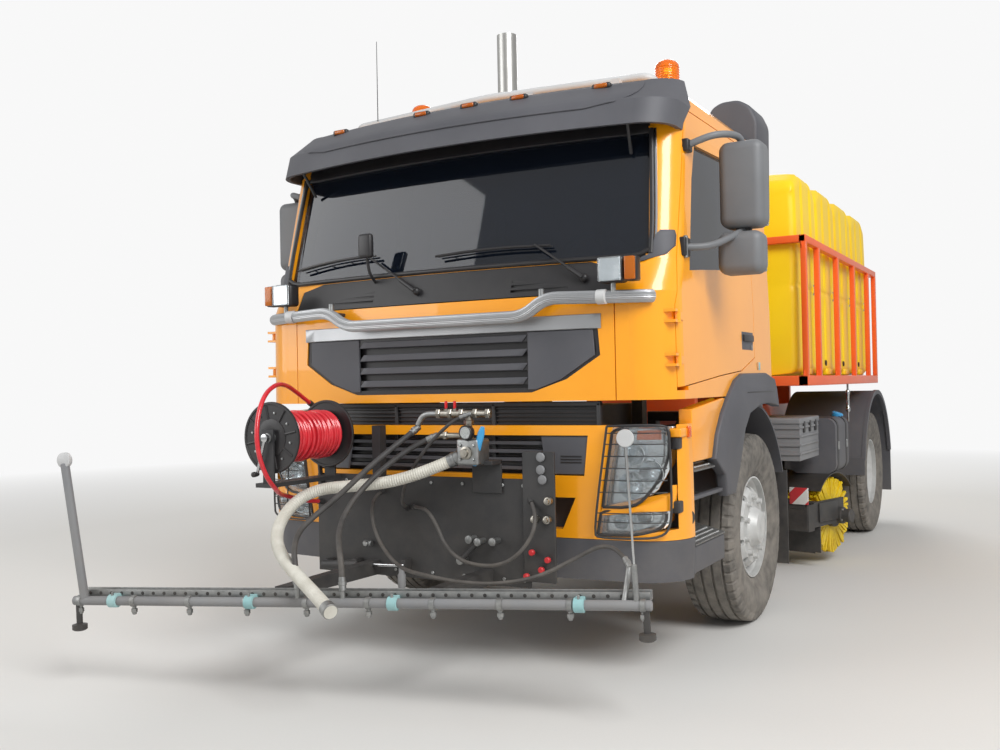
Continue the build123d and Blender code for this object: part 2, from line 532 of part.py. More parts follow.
def make_cab():
    """Hollow cab with its doors, glass, front lid, grille and cowl, and the seats inside."""
    outer = form(CAB_ROWS, CAB_REAR)
    inner_rows = [row for row in CAB_ROWS]
    inner = form(inner_rows, CAB_REAR, CAB_WALL)
    room = inner & block((-2000, 2000), (-2000, 2000), (CAB_FLOOR, 2850 - CAB_WALL))
    shell = outer - room
    # Below the floor the shell keeps only its skin at the front and its floor pan
    below = inner & block((-2000, 2000), (-2000, 2000), (LID_BOTTOM - 1, CAB_FLOOR - CAB_WALL))
    shell = shell - below
    floor_cut = block((-1100, 1100), (-640, CAB_REAR + 1), (LID_BOTTOM - 1, CAB_FLOOR - CAB_WALL))
    shell = shell - side_cut(FLANK_OUTLINE, SEAM, -1400, 1400) - floor_cut

    door_hole = side_cut(DOOR_OUTLINE, SEAM, 1000, 1400) - form(CAB_ROWS, CAB_REAR, CAB_WALL + DOOR_CLEAR)
    shell = shell - door_hole - flip(door_hole)
    # Room in the sill for the door's front corner, which swings back over it
    sill = DOOR_OUTLINE[0][1]
    swing = DOOR_FRONT_T + DOOR_CLEAR
    corner_room = block((DOOR_HINGE_X - swing, DOOR_HINGE_X + 50), (DOOR_HINGE_Y, DOOR_HINGE_Y + swing),
                        (sill - DOOR_CLEAR, sill + SEAM))
    shell = shell - corner_room - flip(corner_room)
    lid_zone = block((-LID_HALF - SEAM, LID_HALF + SEAM), (-1600, -1380), (LID_BOTTOM - 1, COWL_TOP))
    shell = shell - lid_zone
    firewall = block((-1000, 1000), (FIREWALL_Y - 30, FIREWALL_Y), (LID_BOTTOM, COWL_TOP + 20)) & outer
    shell = shell + firewall
    shell = shell - front_cut(SCREEN_OUTLINE, FIT, -1600, -900)

    door_blank = (outer - inner) & side_cut(DOOR_OUTLINE, 0, 1000, 1400)
    hollow = side_cut(WINDOW_OUTLINE, FIT, 1000, 1400)
    door = door_blank - hollow
    # Each door hangs on two pins; its eyes turn on them between the shell's ears
    eyes, ears = [], []
    axis = (DOOR_HINGE_X, DOOR_HINGE_Y)
    for z in HINGE_Z:
        low, high = z + HINGE_EAR + FIT, z + HINGE_H - HINGE_EAR - FIT
        leaf = block((axis[0] - 24, axis[0] + 8), (axis[1] + 6, axis[1] + 60), (low, high)) - inner
        eyes += [rod((*axis, low), (*axis, high), HINGE_R), leaf]
        ears.append(rod((*axis, z), (*axis, z + HINGE_H), HINGE_PIN_R))
        for ear_z in (z, z + HINGE_H - HINGE_EAR):
            ears.append(rod((*axis, ear_z), (*axis, ear_z + HINGE_EAR), HINGE_R))
            ears.append(block((axis[0] - 60, axis[0] + 8), (axis[1] - 52, axis[1] - 6),
                              (ear_z, ear_z + HINGE_EAR)) - inner)
    bore = rod((*axis, LID_BOTTOM), (*axis, COWL_TOP), HINGE_PIN_R + FIT)
    for z in HINGE_Z:
        room = rod((*axis, z - 3), (*axis, z + HINGE_H + 3), HINGE_R + 3)
        door, shell = door - room, shell - room - flip(room)
    door = join([door] + eyes) - bore
    shell = join([shell] + ears + [flip(ear) for ear in ears])
    parts["door_left"] = door
    parts["door_right"] = flip(door)
    skin_out, skin_in = form(CAB_ROWS, CAB_REAR, 20), form(CAB_ROWS, CAB_REAR, 20 + GLASS_T)
    glass = (skin_out - skin_in) & side_cut(WINDOW_OUTLINE, 0, 1000, 1400)
    parts["door_glass_left"] = glass
    parts["door_glass_right"] = flip(glass)
    parts["windscreen"] = (skin_out - skin_in) & front_cut(SCREEN_OUTLINE, 0, -1600, -900)

    lid_in = form(CAB_ROWS, CAB_REAR, LID_T)
    front_skin = outer - lid_in
    lid = front_skin & block((-LID_HALF, LID_HALF), (-1600, -1380), (LID_BOTTOM, LID_TOP))
    grille_hole = ((-870.0, 1500.0), (-860.0, 1632.0), (860.0, 1632.0), (870.0, 1500.0),
                   (700.0, 1392.0), (520.0, 1332.0), (-520.0, 1332.0), (-700.0, 1392.0))
    stops = [
        block((x - 30, x + 30), (-1450, FIREWALL_Y - 30 - FIT), (z, z + 50)) & outer
        for x in (-820.0, 820.0) for z in (1340.0, 1700.0)
    ]
    lid = lid - front_cut(grille_hole, 0, -1600, -1300)
    parts["front_lid"] = join([lid] + [stop - front_skin for stop in stops])
    slats = []
    back = form(CAB_ROWS, CAB_REAR, LID_T - 10) - form(CAB_ROWS, CAB_REAR, LID_T)
    slats.append(back & front_cut(grille_hole, -FIT, -1600, -1300))
    slat_skin = form(CAB_ROWS, CAB_REAR, 8) - form(CAB_ROWS, CAB_REAR, LID_T - 8)
    inside = front_cut(grille_hole, -FIT, -1600, -1300)
    for z in (1372.0, 1440.0, 1508.0, 1576.0):
        slats.append(slat_skin & inside & block((-900, 900), (-1600, -1300), (z, z + 34)))
    rim = inside - front_cut(grille_hole, -22, -1600, -1300)
    slats.append(slat_skin & rim)
    parts["grille"] = join(slats)
    cowl = front_skin & block((-LID_HALF, LID_HALF), (-1600, -1380), (LID_TOP + SEAM, COWL_TOP - FIT))
    for x in (-560.0, 560.0):
        for z in (1815.0, 1840.0, 1865.0, 1890.0):
            cowl = cowl - block((x - 150, x + 150), (-1600, -1440), (z, z + 12))
    parts["cowl_panel"] = cowl
    parts["cab_shell"] = shell

    # Inside: two seats, the bunk wall, the dash and the steering wheel on its column
    floor = CAB_FLOOR + FIT
    inside_parts = []
    for x in (-620.0, 620.0):
        base = block((x - 230, x + 230), (-720, -230), (floor, floor + 330))
        cushion = block((x - 260, x + 260), (-760, -220), (floor + 330, floor + 450))
        back_rest = side_prism(((-300, floor + 450), (-180, floor + 450), (-60, floor + 1080),
                                (-170, floor + 1080)), x - 245, x + 245)
        inside_parts += [base, cushion, back_rest]
    tunnel = block((-330, 330), (-900, CAB_REAR - CAB_WALL - 2), (floor, floor + 260))
    dash_front = FIREWALL_Y + FIT
    dash = side_prism(((dash_front, floor + 120), (dash_front, floor + 560), (-1180, floor + 590),
                       (-1010, floor + 520), (-960, floor + 380), (-1060, floor + 120)), -1040, 1040)
    dash = dash & form(CAB_ROWS, CAB_REAR, CAB_WALL + DOOR_CLEAR)
    column = rod((620, -1030, floor + 420), (620, -860, floor + 560), 34)
    wheel = Plane(origin=(620, -840, floor + 576), z_dir=(0, 0.77, 0.64)) * Torus(215, 15)
    spoke = Plane(origin=(620, -840, floor + 576), z_dir=(0, 0.77, 0.64)) * Box(420, 60, 16)
    inside_parts += [tunnel, dash, column, wheel, spoke]
    parts["cab_interior"] = join(inside_parts)


def make_cab_fittings():
    """Visor, roof rail, beacons, mirrors, lamp bar, exhaust stack and air intake."""
    outer = form(CAB_ROWS, CAB_REAR)
    visor_outer = form(VISOR_ROWS, -700)
    visor_inner = form(VISOR_ROWS, -700, 22)
    visor = visor_outer - visor_inner - outer
    visor = visor & block((-1300, 1300), (-1600, -1000), (2500, 2850))
    door_space = side_cut(DOOR_OUTLINE, DOOR_CLEAR, 900, 1400)
    visor = visor - door_space - flip(door_space)
    parts["sun_visor"] = visor.solids().sort_by(SortBy.VOLUME)[-1]

    rail_y = -830.0
    rail_z = 2930.0
    rail_end = 935.0
    rail = bent_rod(((-rail_end, -760, rail_z - 46), (-rail_end, rail_y - 40, rail_z), (0, rail_y - 90, rail_z + 22),
                     (rail_end, rail_y - 40, rail_z), (rail_end, -760, rail_z - 46)), 24, (60, 900, 60))
    feet = [block((x - 22, x + 22), (rail_y - 110, rail_y - 20), (2800, rail_z)) for x in (-760, -260, 260, 760)]
    parts["roof_rail"] = join([rail] + feet) - outer

    beacons = []
    pole_low, pole_high, beacon_top = 2840.0, 3012.0, 3182.0
    for x in (-825.0, 825.0):
        pole = rod((x, -330, pole_low), (x, -330, pole_high), 13)
        foot = rod((x, -330, pole_low), (x, -330, pole_low + 26), 40)
        base = rod((x, -330, pole_high - 1), (x, -330, pole_high + 34), 76)
        dome = rod((x, -330, pole_high + 30), (x, -330, beacon_top), 70)
        dome = fillet(dome.edges().group_by(Axis.Z)[-1], 26)
        beacons += [pole, foot, base, dome]
    parts["beacons"] = join(beacons) - outer

    # Mirrors: a tall housing, a wide-angle housing below it, and the arms to the door's front edge
    main = block((1290, 1508), (-960, -800), (2108, 2525))
    main = fillet(main.edges().filter_by(Axis.Z) + main.edges().filter_by(Axis.X), 34)
    wide = block((1280, 1500), (-970, -820), (1883, 2088))
    wide = fillet(wide.edges().filter_by(Axis.Z) + wide.edges().filter_by(Axis.X), 30)
    arm_high = bent_rod(((1165, -1075, 2500), (1310, -1050, 2548), (1395, -900, 2560), (1395, -880, 2480)), 17, 30)
    arm_low = bent_rod(((1190, -1215, 2000), (1310, -1120, 2000), (1395, -885, 2100)), 17, 40)
    link = block((1360, 1430), (-900, -860), (2080, 2115))
    arms = [(arm - outer).solids().sort_by(SortBy.VOLUME)[-1] for arm in (arm_high, arm_low)]
    mirrors = join([main, wide, link] + arms)
    parts["mirrors_left"] = mirrors
    parts["mirrors_right"] = flip(mirrors)

    # Lamp bar: a bent tube across the lid, with a square lamp at each end
    lamp_bar = bent_rod(((-1110, -1440, 1760), (-860, -1530, 1762), (-640, -1545, 1770), (-520, -1545, 1690),
                         (520, -1545, 1690), (640, -1545, 1770), (860, -1530, 1762), (1110, -1440, 1760)), 30, 60)
    stalks = []
    for x in (-965.0, 965.0):
        stalks.append(rod((x, -1505, 1770), (x, -1505, 1830), 12))
        lamp = block((x - 62, x + 62), (-1550, -1460), (1822, 1942))
        stalks.append(fillet(lamp.edges().filter_by(Axis.Y), 14))
        sign = 1 if x > 0 else -1
        amber = block((x + sign * 60 - 30, x + sign * 60 + 30), (-1540, -1470), (1830, 1934))
        stalks.append(amber)
    for x in (-880.0, 880.0):
        stalks.append(block((x - 20, x + 20), (-1530, -1462), (1745, 1775)))
    parts["lamp_bar"] = join([lamp_bar] + stalks) - outer

    stack = rod((STACK_X, STACK_Y, 1200), (STACK_X, STACK_Y, STACK_TOP), STACK_R)
    stack = stack - rod((STACK_X, STACK_Y, 3500), (STACK_X, STACK_Y, STACK_TOP + 50), STACK_R - 10)
    # The silencer is a box behind the front wheel; a pipe leads from it up to the stack's foot
    silencer = block((-1130, -560), (770, 1090), (640, 1010))
    silencer = fillet(silencer.edges().filter_by(Axis.X), 60)
    elbow = bent_rod(((STACK_X, 930, 980), (STACK_X, 930, 1170), (STACK_X, STACK_Y - 60, 1170)), 52, 90)
    foot = rod((STACK_X, STACK_Y, 1110), (STACK_X, STACK_Y, 1210), STACK_R + 14)
    hangers = [block((-570, -RAIL_X), (y, y + 50), (860, 920)) for y in (820.0, 980.0)]
    parts["exhaust_stack"] = join([stack, silencer, elbow, foot] + hangers)
    cheek = side_prism(((360, 2380), (360, 2860), (420, 2925), (620, 2925), (650, 2860), (650, 2380)), 790, 1140)
    duct = block((860, 1080), (400, 600), (1180, 2381))
    foot = block((RAIL_X - 60, 1000), (440, 520), (1120, 1182)) + block((RAIL_X - 60, RAIL_X), (440, 520), (RAIL_TOP, 1130))
    parts["air_intake"] = join([cheek, duct, foot])


def make_front():
    """Bumper, mask, headlamps and the steps below the doors."""
    mask_outer = form(MASK_ROWS, -500)
    mask_inner = form(MASK_ROWS, -500, MASK_T)
    skin = (mask_outer - mask_inner) & block((-1400, 1400), (-1600, -1200), (BUMPER_BOTTOM, MASK_TOP))
    mask = skin & block((-1400, 1400), (-1600, -1200), (BUMPER_TOP + 2, MASK_TOP))
    pockets = (
        ((-790.0, 940.0), (-800.0, 1128.0), (800.0, 1128.0), (780.0, 940.0)),
        ((-670.0, 690.0), (-735.0, 838.0), (735.0, 838.0), (670.0, 690.0)),
    )
    lamp_outline = ((835.0, 655.0), (925.0, 1180.0), (1190.0, 1205.0), (1190.0, 700.0))
    for pocket in pockets:
        mask = mask - front_cut(pocket, 0, -1600, -1100)
    lamp_hole = front_cut(lamp_outline, FIT, -1600, -1200)
    mask = mask - lamp_hole - flip(lamp_hole)
    parts["bumper_mask"] = mask
    bumper = (mask_outer - form(MASK_ROWS, -500, 90)) & block((-1400, 1400), (-1600, -1200),
                                                           (BUMPER_BOTTOM, BUMPER_TOP))
    backing = block((-830, 830), (-1374, -1352), (BUMPER_TOP - 4, 1120))
    brace = block((-RAIL_X, RAIL_X), (-1354, RAIL_FRONT), (760, 850))
    slot = front_cut(pockets[0], -FIT, -1600, -1360)
    bars = [block((-786, 786), (-1450, -1364), (z, z + 16)) & slot for z in (962.0, 1002.0, 1042.0, 1082.0)]
    parts["front_bumper"] = join([bumper, backing, brace] + bars)
    lamp = (form(MASK_ROWS, -500, 6) - form(MASK_ROWS, -500, 80)) & front_cut(lamp_outline, 0, -1600, -1200)
    lamp = lamp & block((800, 1400), (-1600, -1290), (BUMPER_TOP + 4, MASK_TOP - 1))
    parts["headlamps"] = both(lamp)

    steps = side_prism(((-1195, 470), (-1195, 1240), (-700, 1284), (-640, 1284), (-625, 470)), 1000, 1218)
    wells = []
    for low, high, front, rear in ((980.0, 1200.0, -1160.0, -850.0), (620.0, 900.0, -1150.0, -830.0)):
        wells.append(block((1040, 1300), (front, rear), (low, high)))
    steps = steps - wells[0] - wells[1]
    strut = block((RAIL_X, 1002), (-1150, -1090), (700, 780))
    arch = rod((900, 0, TYRE_R), (1300, 0, TYRE_R), ARCH_R + FENDER_T + SEAM)
    steps = steps - side_cut(FLANK_OUTLINE, SEAM, 900, 1300) - arch
    parts["entry_steps"] = both(steps + strut)

    # Front fenders: a flat flank round the arch and a liner over the wheel
    flank = side_prism(FLANK_OUTLINE, FENDER_X - 60, FENDER_X)
    flank = flank - rod((1000, 0, TYRE_R), (1300, 0, TYRE_R), ARCH_R)
    liner = rod((840, 0, TYRE_R), (FENDER_X - 59, 0, TYRE_R), ARCH_R + FENDER_T)
    liner = liner - rod((800, 0, TYRE_R), (1300, 0, TYRE_R), ARCH_R)
    liner = liner & block((800, 1300), (-700, 720), (790, 1400))
    flap = block((860, FENDER_X - 40), (686, 696), (212, 800))
    bracket = block((RAIL_X, 900), (694, 730), (760, 800))
    parts["front_fenders"] = both(join([flank, liner, flap, bracket]))


def make_side_boxes():
    """Fuel tank, battery box and their brackets to the rails."""
    fuel = block((900, 1240), (2008, 2520), (664, 1078))
    fuel = fillet(fuel.edges().filter_by(Axis.Y), 70)
    straps = [block((RAIL_X, 904), (y, y + 50), (760, 900)) for y in (2080.0, 2400.0)]
    cap = rod((1150, 2440, 1040), (1190, 2440, 1096), 36)
    parts["fuel_tank"] = join([fuel, cap] + straps)
    box = block((760, 1140), (1300, 1900), (810, 1100))
    ribs = [block((780, 1150), (1290, 1302), (z, z + 16)) for z in (850.0, 910.0, 970.0, 1030.0)]
    arm = block((RAIL_X, 764), (1500, 1700), (840, 900))
    parts["battery_box"] = join([box, arm] + ribs)


def make_tank():
    """The tank's subframe and cage, and the row of moulded tanks that they hold."""
    pieces = []
    length = (FRAME_FRONT, FRAME_REAR)
    sill = block((FRAME_X - POST, FRAME_X), length, (FRAME_BOTTOM, FRAME_BOTTOM + POST))
    top = block((FRAME_X - 50, FRAME_X), length, (FRAME_TOP - 50, FRAME_TOP))
    pieces += [sill, top]
    for y in (1232.0, 1630.0, 2282.0, 2960.0, 3599.0, FRAME_REAR - 60):
        pieces.append(block((FRAME_X - 60, FRAME_X), (y, y + 60), (FRAME_BOTTOM, FRAME_TOP)))
    runner = block((RAIL_X - 80, RAIL_X), (FRAME_FRONT - 60, FRAME_REAR + 60), (RAIL_TOP, RAIL_TOP + 160))
    pieces.append(runner)
    cage = both(join(pieces))
    for y in (1232.0, 1900.0, 2600.0, 3300.0, FRAME_REAR - POST):
        cross = block((-FRAME_X + 1, FRAME_X - 1), (y, y + POST), (FRAME_BOTTOM, FRAME_BOTTOM + POST))
        saddle = block((-RAIL_X, RAIL_X), (y, y + POST), (RAIL_TOP + 155, FRAME_BOTTOM + 1))
        cage = cage + cross + saddle
    for y in (FRAME_FRONT, FRAME_REAR - 50):
        cage = cage + block((-FRAME_X + 1, FRAME_X - 1), (y, y + 50), (FRAME_TOP - 50, FRAME_TOP))
    parts["tank_frame"] = cage

    tanks = []
    low_x, high_x = FRAME_X - POST - 8, 1085.0
    tank_bottom = FRAME_BOTTOM + POST + FIT
    for index in range(TANK_COUNT):
        y0 = TANK_FRONT + index * TANK_PITCH
        y1 = y0 + TANK_PITCH - TANK_GAP
        lower = front_prism((
            (-low_x, tank_bottom), (-low_x, 2330), (-high_x - 20, 2400), (-high_x, TANK_TOP - 90),
            (-high_x + 90, TANK_TOP), (high_x - 90, TANK_TOP), (high_x, TANK_TOP - 90), (high_x + 20, 2400),
            (low_x, 2330), (low_x, tank_bottom)), y0, y1)
        lower = fillet(lower.edges().filter_by(Axis.Z), 40)
        tanks.append(lower)
    parts["water_tank"] = join(tanks)


def make_rear():
    """Rear fenders over the twin wheels, the underrun bar and its lamps."""
    outer_r = TYRE_R + 190
    arch = rod((560, WHEELBASE, TYRE_R), (1262, WHEELBASE, TYRE_R), outer_r)
    arch = arch - rod((500, WHEELBASE, TYRE_R), (1300, WHEELBASE, TYRE_R), outer_r - 12)
    arch = arch & block((500, 1300), (2900, 4800), (TYRE_R + 150, 1300))
    front_flap = block((600, 1262), (3086, 3098), (560, TYRE_R + 170))
    rear_flap = block((600, 1262), (4500, 4512), (300, TYRE_R + 170))
    lip = rod((1240, WHEELBASE, TYRE_R), (1268, WHEELBASE, TYRE_R), outer_r + 6)
    lip = lip - rod((1200, WHEELBASE, TYRE_R), (1300, WHEELBASE, TYRE_R), outer_r - 30)
    lip = lip & block((1200, 1300), (2900, 4800), (TYRE_R + 150, 1300))
    arms = [block((RAIL_X, 640), (y, y + 40), (TYRE_R + 150, TYRE_R + 190)) for y in (3100.0, 4440.0)]
    parts["rear_fenders"] = both(join([arch, front_flap, rear_flap, lip] + arms))

    bar = block((-1180, 1180), (RAIL_REAR - 40, RAIL_REAR + 60), (470, 590))
    bar = fillet(bar.edges().filter_by(Axis.X), 18)
    pieces = [bar]
    for x in (-400.0, 360.0):
        pieces.append(block((x, x + 40), (RAIL_REAR - 60, RAIL_REAR), (560, RAIL_TOP - RAIL_H)))
    for x in (-1010.0, 1010.0):
        pieces.append(block((x - 150, x + 150), (RAIL_REAR + 20, RAIL_REAR + 80), (640, 760)))
        pieces.append(block((x - 20, x + 20), (RAIL_REAR, RAIL_REAR + 40), (580, 660)))
    parts["rear_bar"] = join(pieces)


def make_brush():
    """The transverse brush between the axles, on a frame that swings up from two pivots."""
    axis_z = BRUSH_R + BRUSH_LIFT
    turn = Pos(BRUSH_X, BRUSH_Y, axis_z) * Rot(0, 0, BRUSH_YAW)
    half = BRUSH_L / 2
    core = rod((-half - 40, 0, 0), (half + 40, 0, 0), BRUSH_SHAFT_R) + rod((-half, 0, 0), (half, 0, 0), BRUSH_CORE_R)
    tines = []
    ring_count = 12
    pitch = BRUSH_L / ring_count
    for index in range(ring_count):
        x = -half + pitch * (index + 0.5)
        tines.append(turned(((x - pitch * 0.46, BRUSH_CORE_R - 5), (x - pitch * 0.34, BRUSH_R),
                             (x + pitch * 0.34, BRUSH_R), (x + pitch * 0.46, BRUSH_CORE_R - 5))))
    parts["brush_roll"] = turn * join([core] + tines)

    # The frame: a beam in front of the brush, an arm at each end back to its bearing, and a shield
    beam_y = (-BRUSH_R - 120, -BRUSH_R - 30)
    frame = [block((-half - 32, half + 32), beam_y, (40, 130))]
    for sign in (-1, 1):
        x0, x1 = sorted((sign * (half + 10), sign * (half + 32)))
        cheek = block((x0, x1), (beam_y[0], 60), (-50, 130))
        bearing = rod((sign * (half + 10), 0, 0), (sign * (half + 60), 0, 0), 62)
        hole = rod((sign * half, 0, 0), (sign * (half + 45), 0, 0), BRUSH_SHAFT_R + FIT)
        frame.append(cheek + bearing - hole)
    frame.append(block((-half - 32, half + 32), (beam_y[1] - 1, beam_y[1] + 9), (-240, 130)))
    frame.append(block((half - 190, half + 36), (beam_y[0] - 90, beam_y[0] + 1), (-70, 120)))
    frame = turn * join(frame)
    arms = []
    for x in (-BRUSH_ARM_X, BRUSH_ARM_X):
        y_end = BRUSH_Y + beam_y[0] + (x - BRUSH_X) * math.tan(math.radians(BRUSH_YAW))
        arms.append(side_prism(((BRUSH_PIVOT_Y - 40, BRUSH_PIVOT_Z - 42), (BRUSH_PIVOT_Y - 40, BRUSH_PIVOT_Z + 42),
                                (y_end + 10, axis_z + 120), (y_end + 10, axis_z + 50)), x - 28, x + 28))
    bore = rod((-800, BRUSH_PIVOT_Y, BRUSH_PIVOT_Z), (800, BRUSH_PIVOT_Y, BRUSH_PIVOT_Z), BRUSH_PIVOT_R + FIT)
    parts["brush_arm"] = join([frame] + arms) - bore


def make_washing_gear():
    """Washing bar with its nozzles, its carrier, the hose reel and the manifold."""
    turn = Pos(0, BAR_Y, BAR_Z) * Rot(0, BAR_TILT, BAR_YAW)
    half = BAR_L / 2
    pieces = [rod((-half, 0, 0), (half, 0, 0), BAR_R)]
    channel = block((-half + 10, half - 10), (28, BAR_BACK), (8, 46))
    pieces.append(channel - block((-half, half), (34, BAR_BACK - 6), (14, 50)))
    for x in (-1130.0, -420.0, 260.0, 1060.0):
        pieces.append(block((x - 22, x + 22), (-BAR_R - 8, 60), (-BAR_R - 8, BAR_R + 16)))
    for index in range(NOZZLE_COUNT):
        x = NOZZLE_PITCH * (index - (NOZZLE_COUNT - 1) / 2)
        pieces.append(rod((x, 0, -10), (x, 0, -62), 9) + rod((x, 0, -34), (x, 0, -50), 14))
    for x, lean in ((-half + 25, -78.0), (half - 25, 0.0)):
        pieces.append(rod((x, 0, 0), (x, 0, -110), 14))
        pieces.append(rod((x, 0, -108), (x, 0, -140), 34))
    pieces.append(rod((-half + 60, 0, 0), (-half - 20, 0, 640), 20))
    pieces.append(rod((-half - 20, -14, 655), (-half - 20, 14, 655), 36))
    pieces.append(rod((half - 60, 0, 0), (half - 70, 0, 630), 5))
    pieces.append(rod((half - 70, -6, 655), (half - 70, 6, 655), 35))
    bar = turn * join(pieces)
    # Sockets of the three hoses that feed the bar, each on a short branch from the pipe
    branches = []
    for name in ("hose_black_2", "hose_black_3", "hose_black_4"):
        tip = next(points[-1] for hose_name, _, points in HOSES if hose_name == name)
        foot_x = tip[0] / math.cos(math.radians(BAR_YAW))
        foot = (turn * Pos(foot_x, 0, 0)).position
        socket = ferrule(name, -1)
        branches += [socket, rod(tuple(foot), tuple(socket.center()), 11)]
    parts["wash_bar"] = join([bar] + branches)

    support = [block((-690, 560), (PLATE_Y - PLATE_T, PLATE_Y), (425, 930))]
    for x in (-360.0, 300.0):
        support.append(block((x, x + 60), (PLATE_Y - 1, -1440), (560, 640)))
        y_bar = BAR_Y + (x + 60) * math.tan(math.radians(BAR_YAW))
        arm = side_prism(((PLATE_Y - 10, 430), (PLATE_Y - 10, 500), (y_bar, 490), (y_bar, 440)), x, x + 60)
        support.append(arm - turn * block((-half, half), (-400, BAR_BACK + FIT), (-400, 400)))
    # A shelf runs forward under the reel, with an upright at each end of its axle
    support.append(block((REEL_X - 48, REEL_X + 48), (REEL_FRONT - 60, PLATE_Y - 4), (906, 926)))
    for y0 in (REEL_FRONT - 24, REEL_REAR + 14):
        upright = block((REEL_X - 34, REEL_X + 34), (y0, y0 + 10), (920, REEL_Z + 40))
        support.append(upright - rod((REEL_X, y0 - 5, REEL_Z), (REEL_X, y0 + 15, REEL_Z), REEL_AXLE_R + FIT))
    support.append(rod((-660, -1600, 880), (-703, -1602, 1294), 12))
    support.append(block((-300, -250), (PLATE_Y - 60, PLATE_Y - 10), (900, 1180)))
    # A gusset beside the lamp carries the sockets of the right-hand hoses
    support.append(block((540, 640), (PLATE_Y - PLATE_T, PLATE_Y), (760, 1010)))
    held = (("hose_red", 0), ("hose_red", -1), ("hose_green", -1), ("hose_black_1", 0), ("hose_black_1", -1),
            ("hose_black_2", 0))
    support += [ferrule(name, end) for name, end in held]
    parts["bar_support"] = join(support) - form(MASK_ROWS, -500, -FIT)

    flanges = [rod((REEL_X, y, REEL_Z), (REEL_X, y + 8, REEL_Z), REEL_R) for y in (REEL_FRONT, REEL_REAR - 8)]
    core = rod((REEL_X, REEL_FRONT, REEL_Z), (REEL_X, REEL_REAR, REEL_Z), REEL_CORE_R)
    # Hose wound on the core, thicker towards the rear
    turns = []
    turn_r, turn_count = 11.5, 17
    for index in range(turn_count):
        y = REEL_FRONT + 34 + index * (REEL_REAR - REEL_FRONT - 68) / (turn_count - 1)
        reach = REEL_CORE_R + 28 + 12 * math.sin(1.9 * index)
        turns.append(rod((REEL_X, y - turn_r, REEL_Z), (REEL_X, y + turn_r, REEL_Z), reach))
    axle = rod((REEL_X, REEL_FRONT - 50, REEL_Z), (REEL_X, REEL_REAR + 36, REEL_Z), REEL_AXLE_R)
    crank_y = REEL_FRONT - 44
    crank = rod((REEL_X, crank_y, REEL_Z), (REEL_X - 52, crank_y, REEL_Z - 172), 7)
    grip = rod((REEL_X - 52, crank_y + 8, REEL_Z - 172), (REEL_X - 52, crank_y - 58, REEL_Z - 172), 13)
    parts["hose_reel"] = join(flanges + [core, axle, crank, grip] + turns)

    manifold = [
        rod((120, PIPE_Y, 1240), (420, PIPE_Y, 1240), 17), rod((300, PIPE_Y, 1240), (300, PIPE_Y, 1120), 17),
        bent_rod(((150, PIPE_Y, 1240), (45, PIPE_Y, 1240), (14, PIPE_Y, 1186)), 14, 24),
        rod((128, PIPE_Y, 1137), (300, PIPE_Y, 1137), 13),
    ]
    manifold.append(block((260, 380), (PIPE_Y - 60, PIPE_Y + 60), (1000, 1125)))
    manifold.append(block((260, 420), (PIPE_Y, PLATE_Y - PLATE_T - FIT), (1000, 1020)))
    manifold.append(block((260, 420), (PLATE_Y - 24, PLATE_Y - PLATE_T - FIT), (860, 1020)))
    for x in (240.0, 290.0):
        manifold.append(rod((x, PIPE_Y, 1245), (x, PIPE_Y, 1300), 7))
    manifold.append(rod((370, PIPE_Y - 70, 1175), (370, PIPE_Y - 40, 1175), 32))
    manifold.append(rod((370, PIPE_Y - 42, 1175), (370, PIPE_Y, 1120), 8))
    manifold.append(rod((440, PIPE_Y - 30, 1060), (470, PIPE_Y - 40, 1190), 11))
    manifold.append(rod((370, PIPE_Y, 1062), (446, PIPE_Y - 30, 1062), 14))
    manifold += [ferrule(name, 0) for name in ("hose_white", "hose_green", "hose_black_3", "hose_black_4")]
    parts["manifold"] = join(manifold)
    for name, radius, points in HOSES:
        parts[name] = hose(points, radius)


make_wheels()
make_chassis()
make_cab()
make_cab_fittings()
make_front()
make_side_boxes()
make_tank()
make_rear()
make_brush()
make_washing_gear()

lows, highs = [], []
for shape in parts.values():
    box = shape.bounding_box()
    lows.append(box.min.Y)
    highs.append(box.max.Y)
SHIFT = -(min(lows) + max(highs)) / 2
print("shift along Y", round(SHIFT, 3))
for name, shape in parts.items():
    export_step(Pos(0, SHIFT, 0) * shape, "parts/" + name + ".step")
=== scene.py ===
"""Looks of the street sweeper truck: finishes for its CAD nodes, and detailed pieces in place of some.

Lengths are metres. Points of new pieces are written from the middle of the front axle, on the ground, with
+X to the truck's left, -Y forward and +Z up. Piece moves them to the row frame when it makes the mesh.
"""

import logging
import math
from dataclasses import dataclass
from enum import Enum

import bmesh
import bpy
import numpy as np
from mathutils import Matrix, Vector


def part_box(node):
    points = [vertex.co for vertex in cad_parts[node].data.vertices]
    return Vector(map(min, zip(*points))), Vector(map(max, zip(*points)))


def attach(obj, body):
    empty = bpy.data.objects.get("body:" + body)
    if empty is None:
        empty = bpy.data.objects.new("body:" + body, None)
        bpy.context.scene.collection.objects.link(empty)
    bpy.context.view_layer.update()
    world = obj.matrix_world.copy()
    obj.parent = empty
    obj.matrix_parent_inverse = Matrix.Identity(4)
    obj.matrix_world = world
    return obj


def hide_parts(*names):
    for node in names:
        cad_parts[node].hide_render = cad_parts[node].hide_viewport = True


log = logging.getLogger("street_sweeper")
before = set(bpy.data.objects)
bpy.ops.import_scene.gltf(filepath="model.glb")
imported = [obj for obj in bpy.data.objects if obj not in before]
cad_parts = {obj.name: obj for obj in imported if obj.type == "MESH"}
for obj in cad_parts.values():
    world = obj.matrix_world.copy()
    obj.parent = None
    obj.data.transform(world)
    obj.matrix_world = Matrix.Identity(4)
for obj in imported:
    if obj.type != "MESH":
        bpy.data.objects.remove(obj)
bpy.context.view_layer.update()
rim_low, rim_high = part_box("rim_front_left")
AXLE_Y = (rim_low.y + rim_high.y) / 2
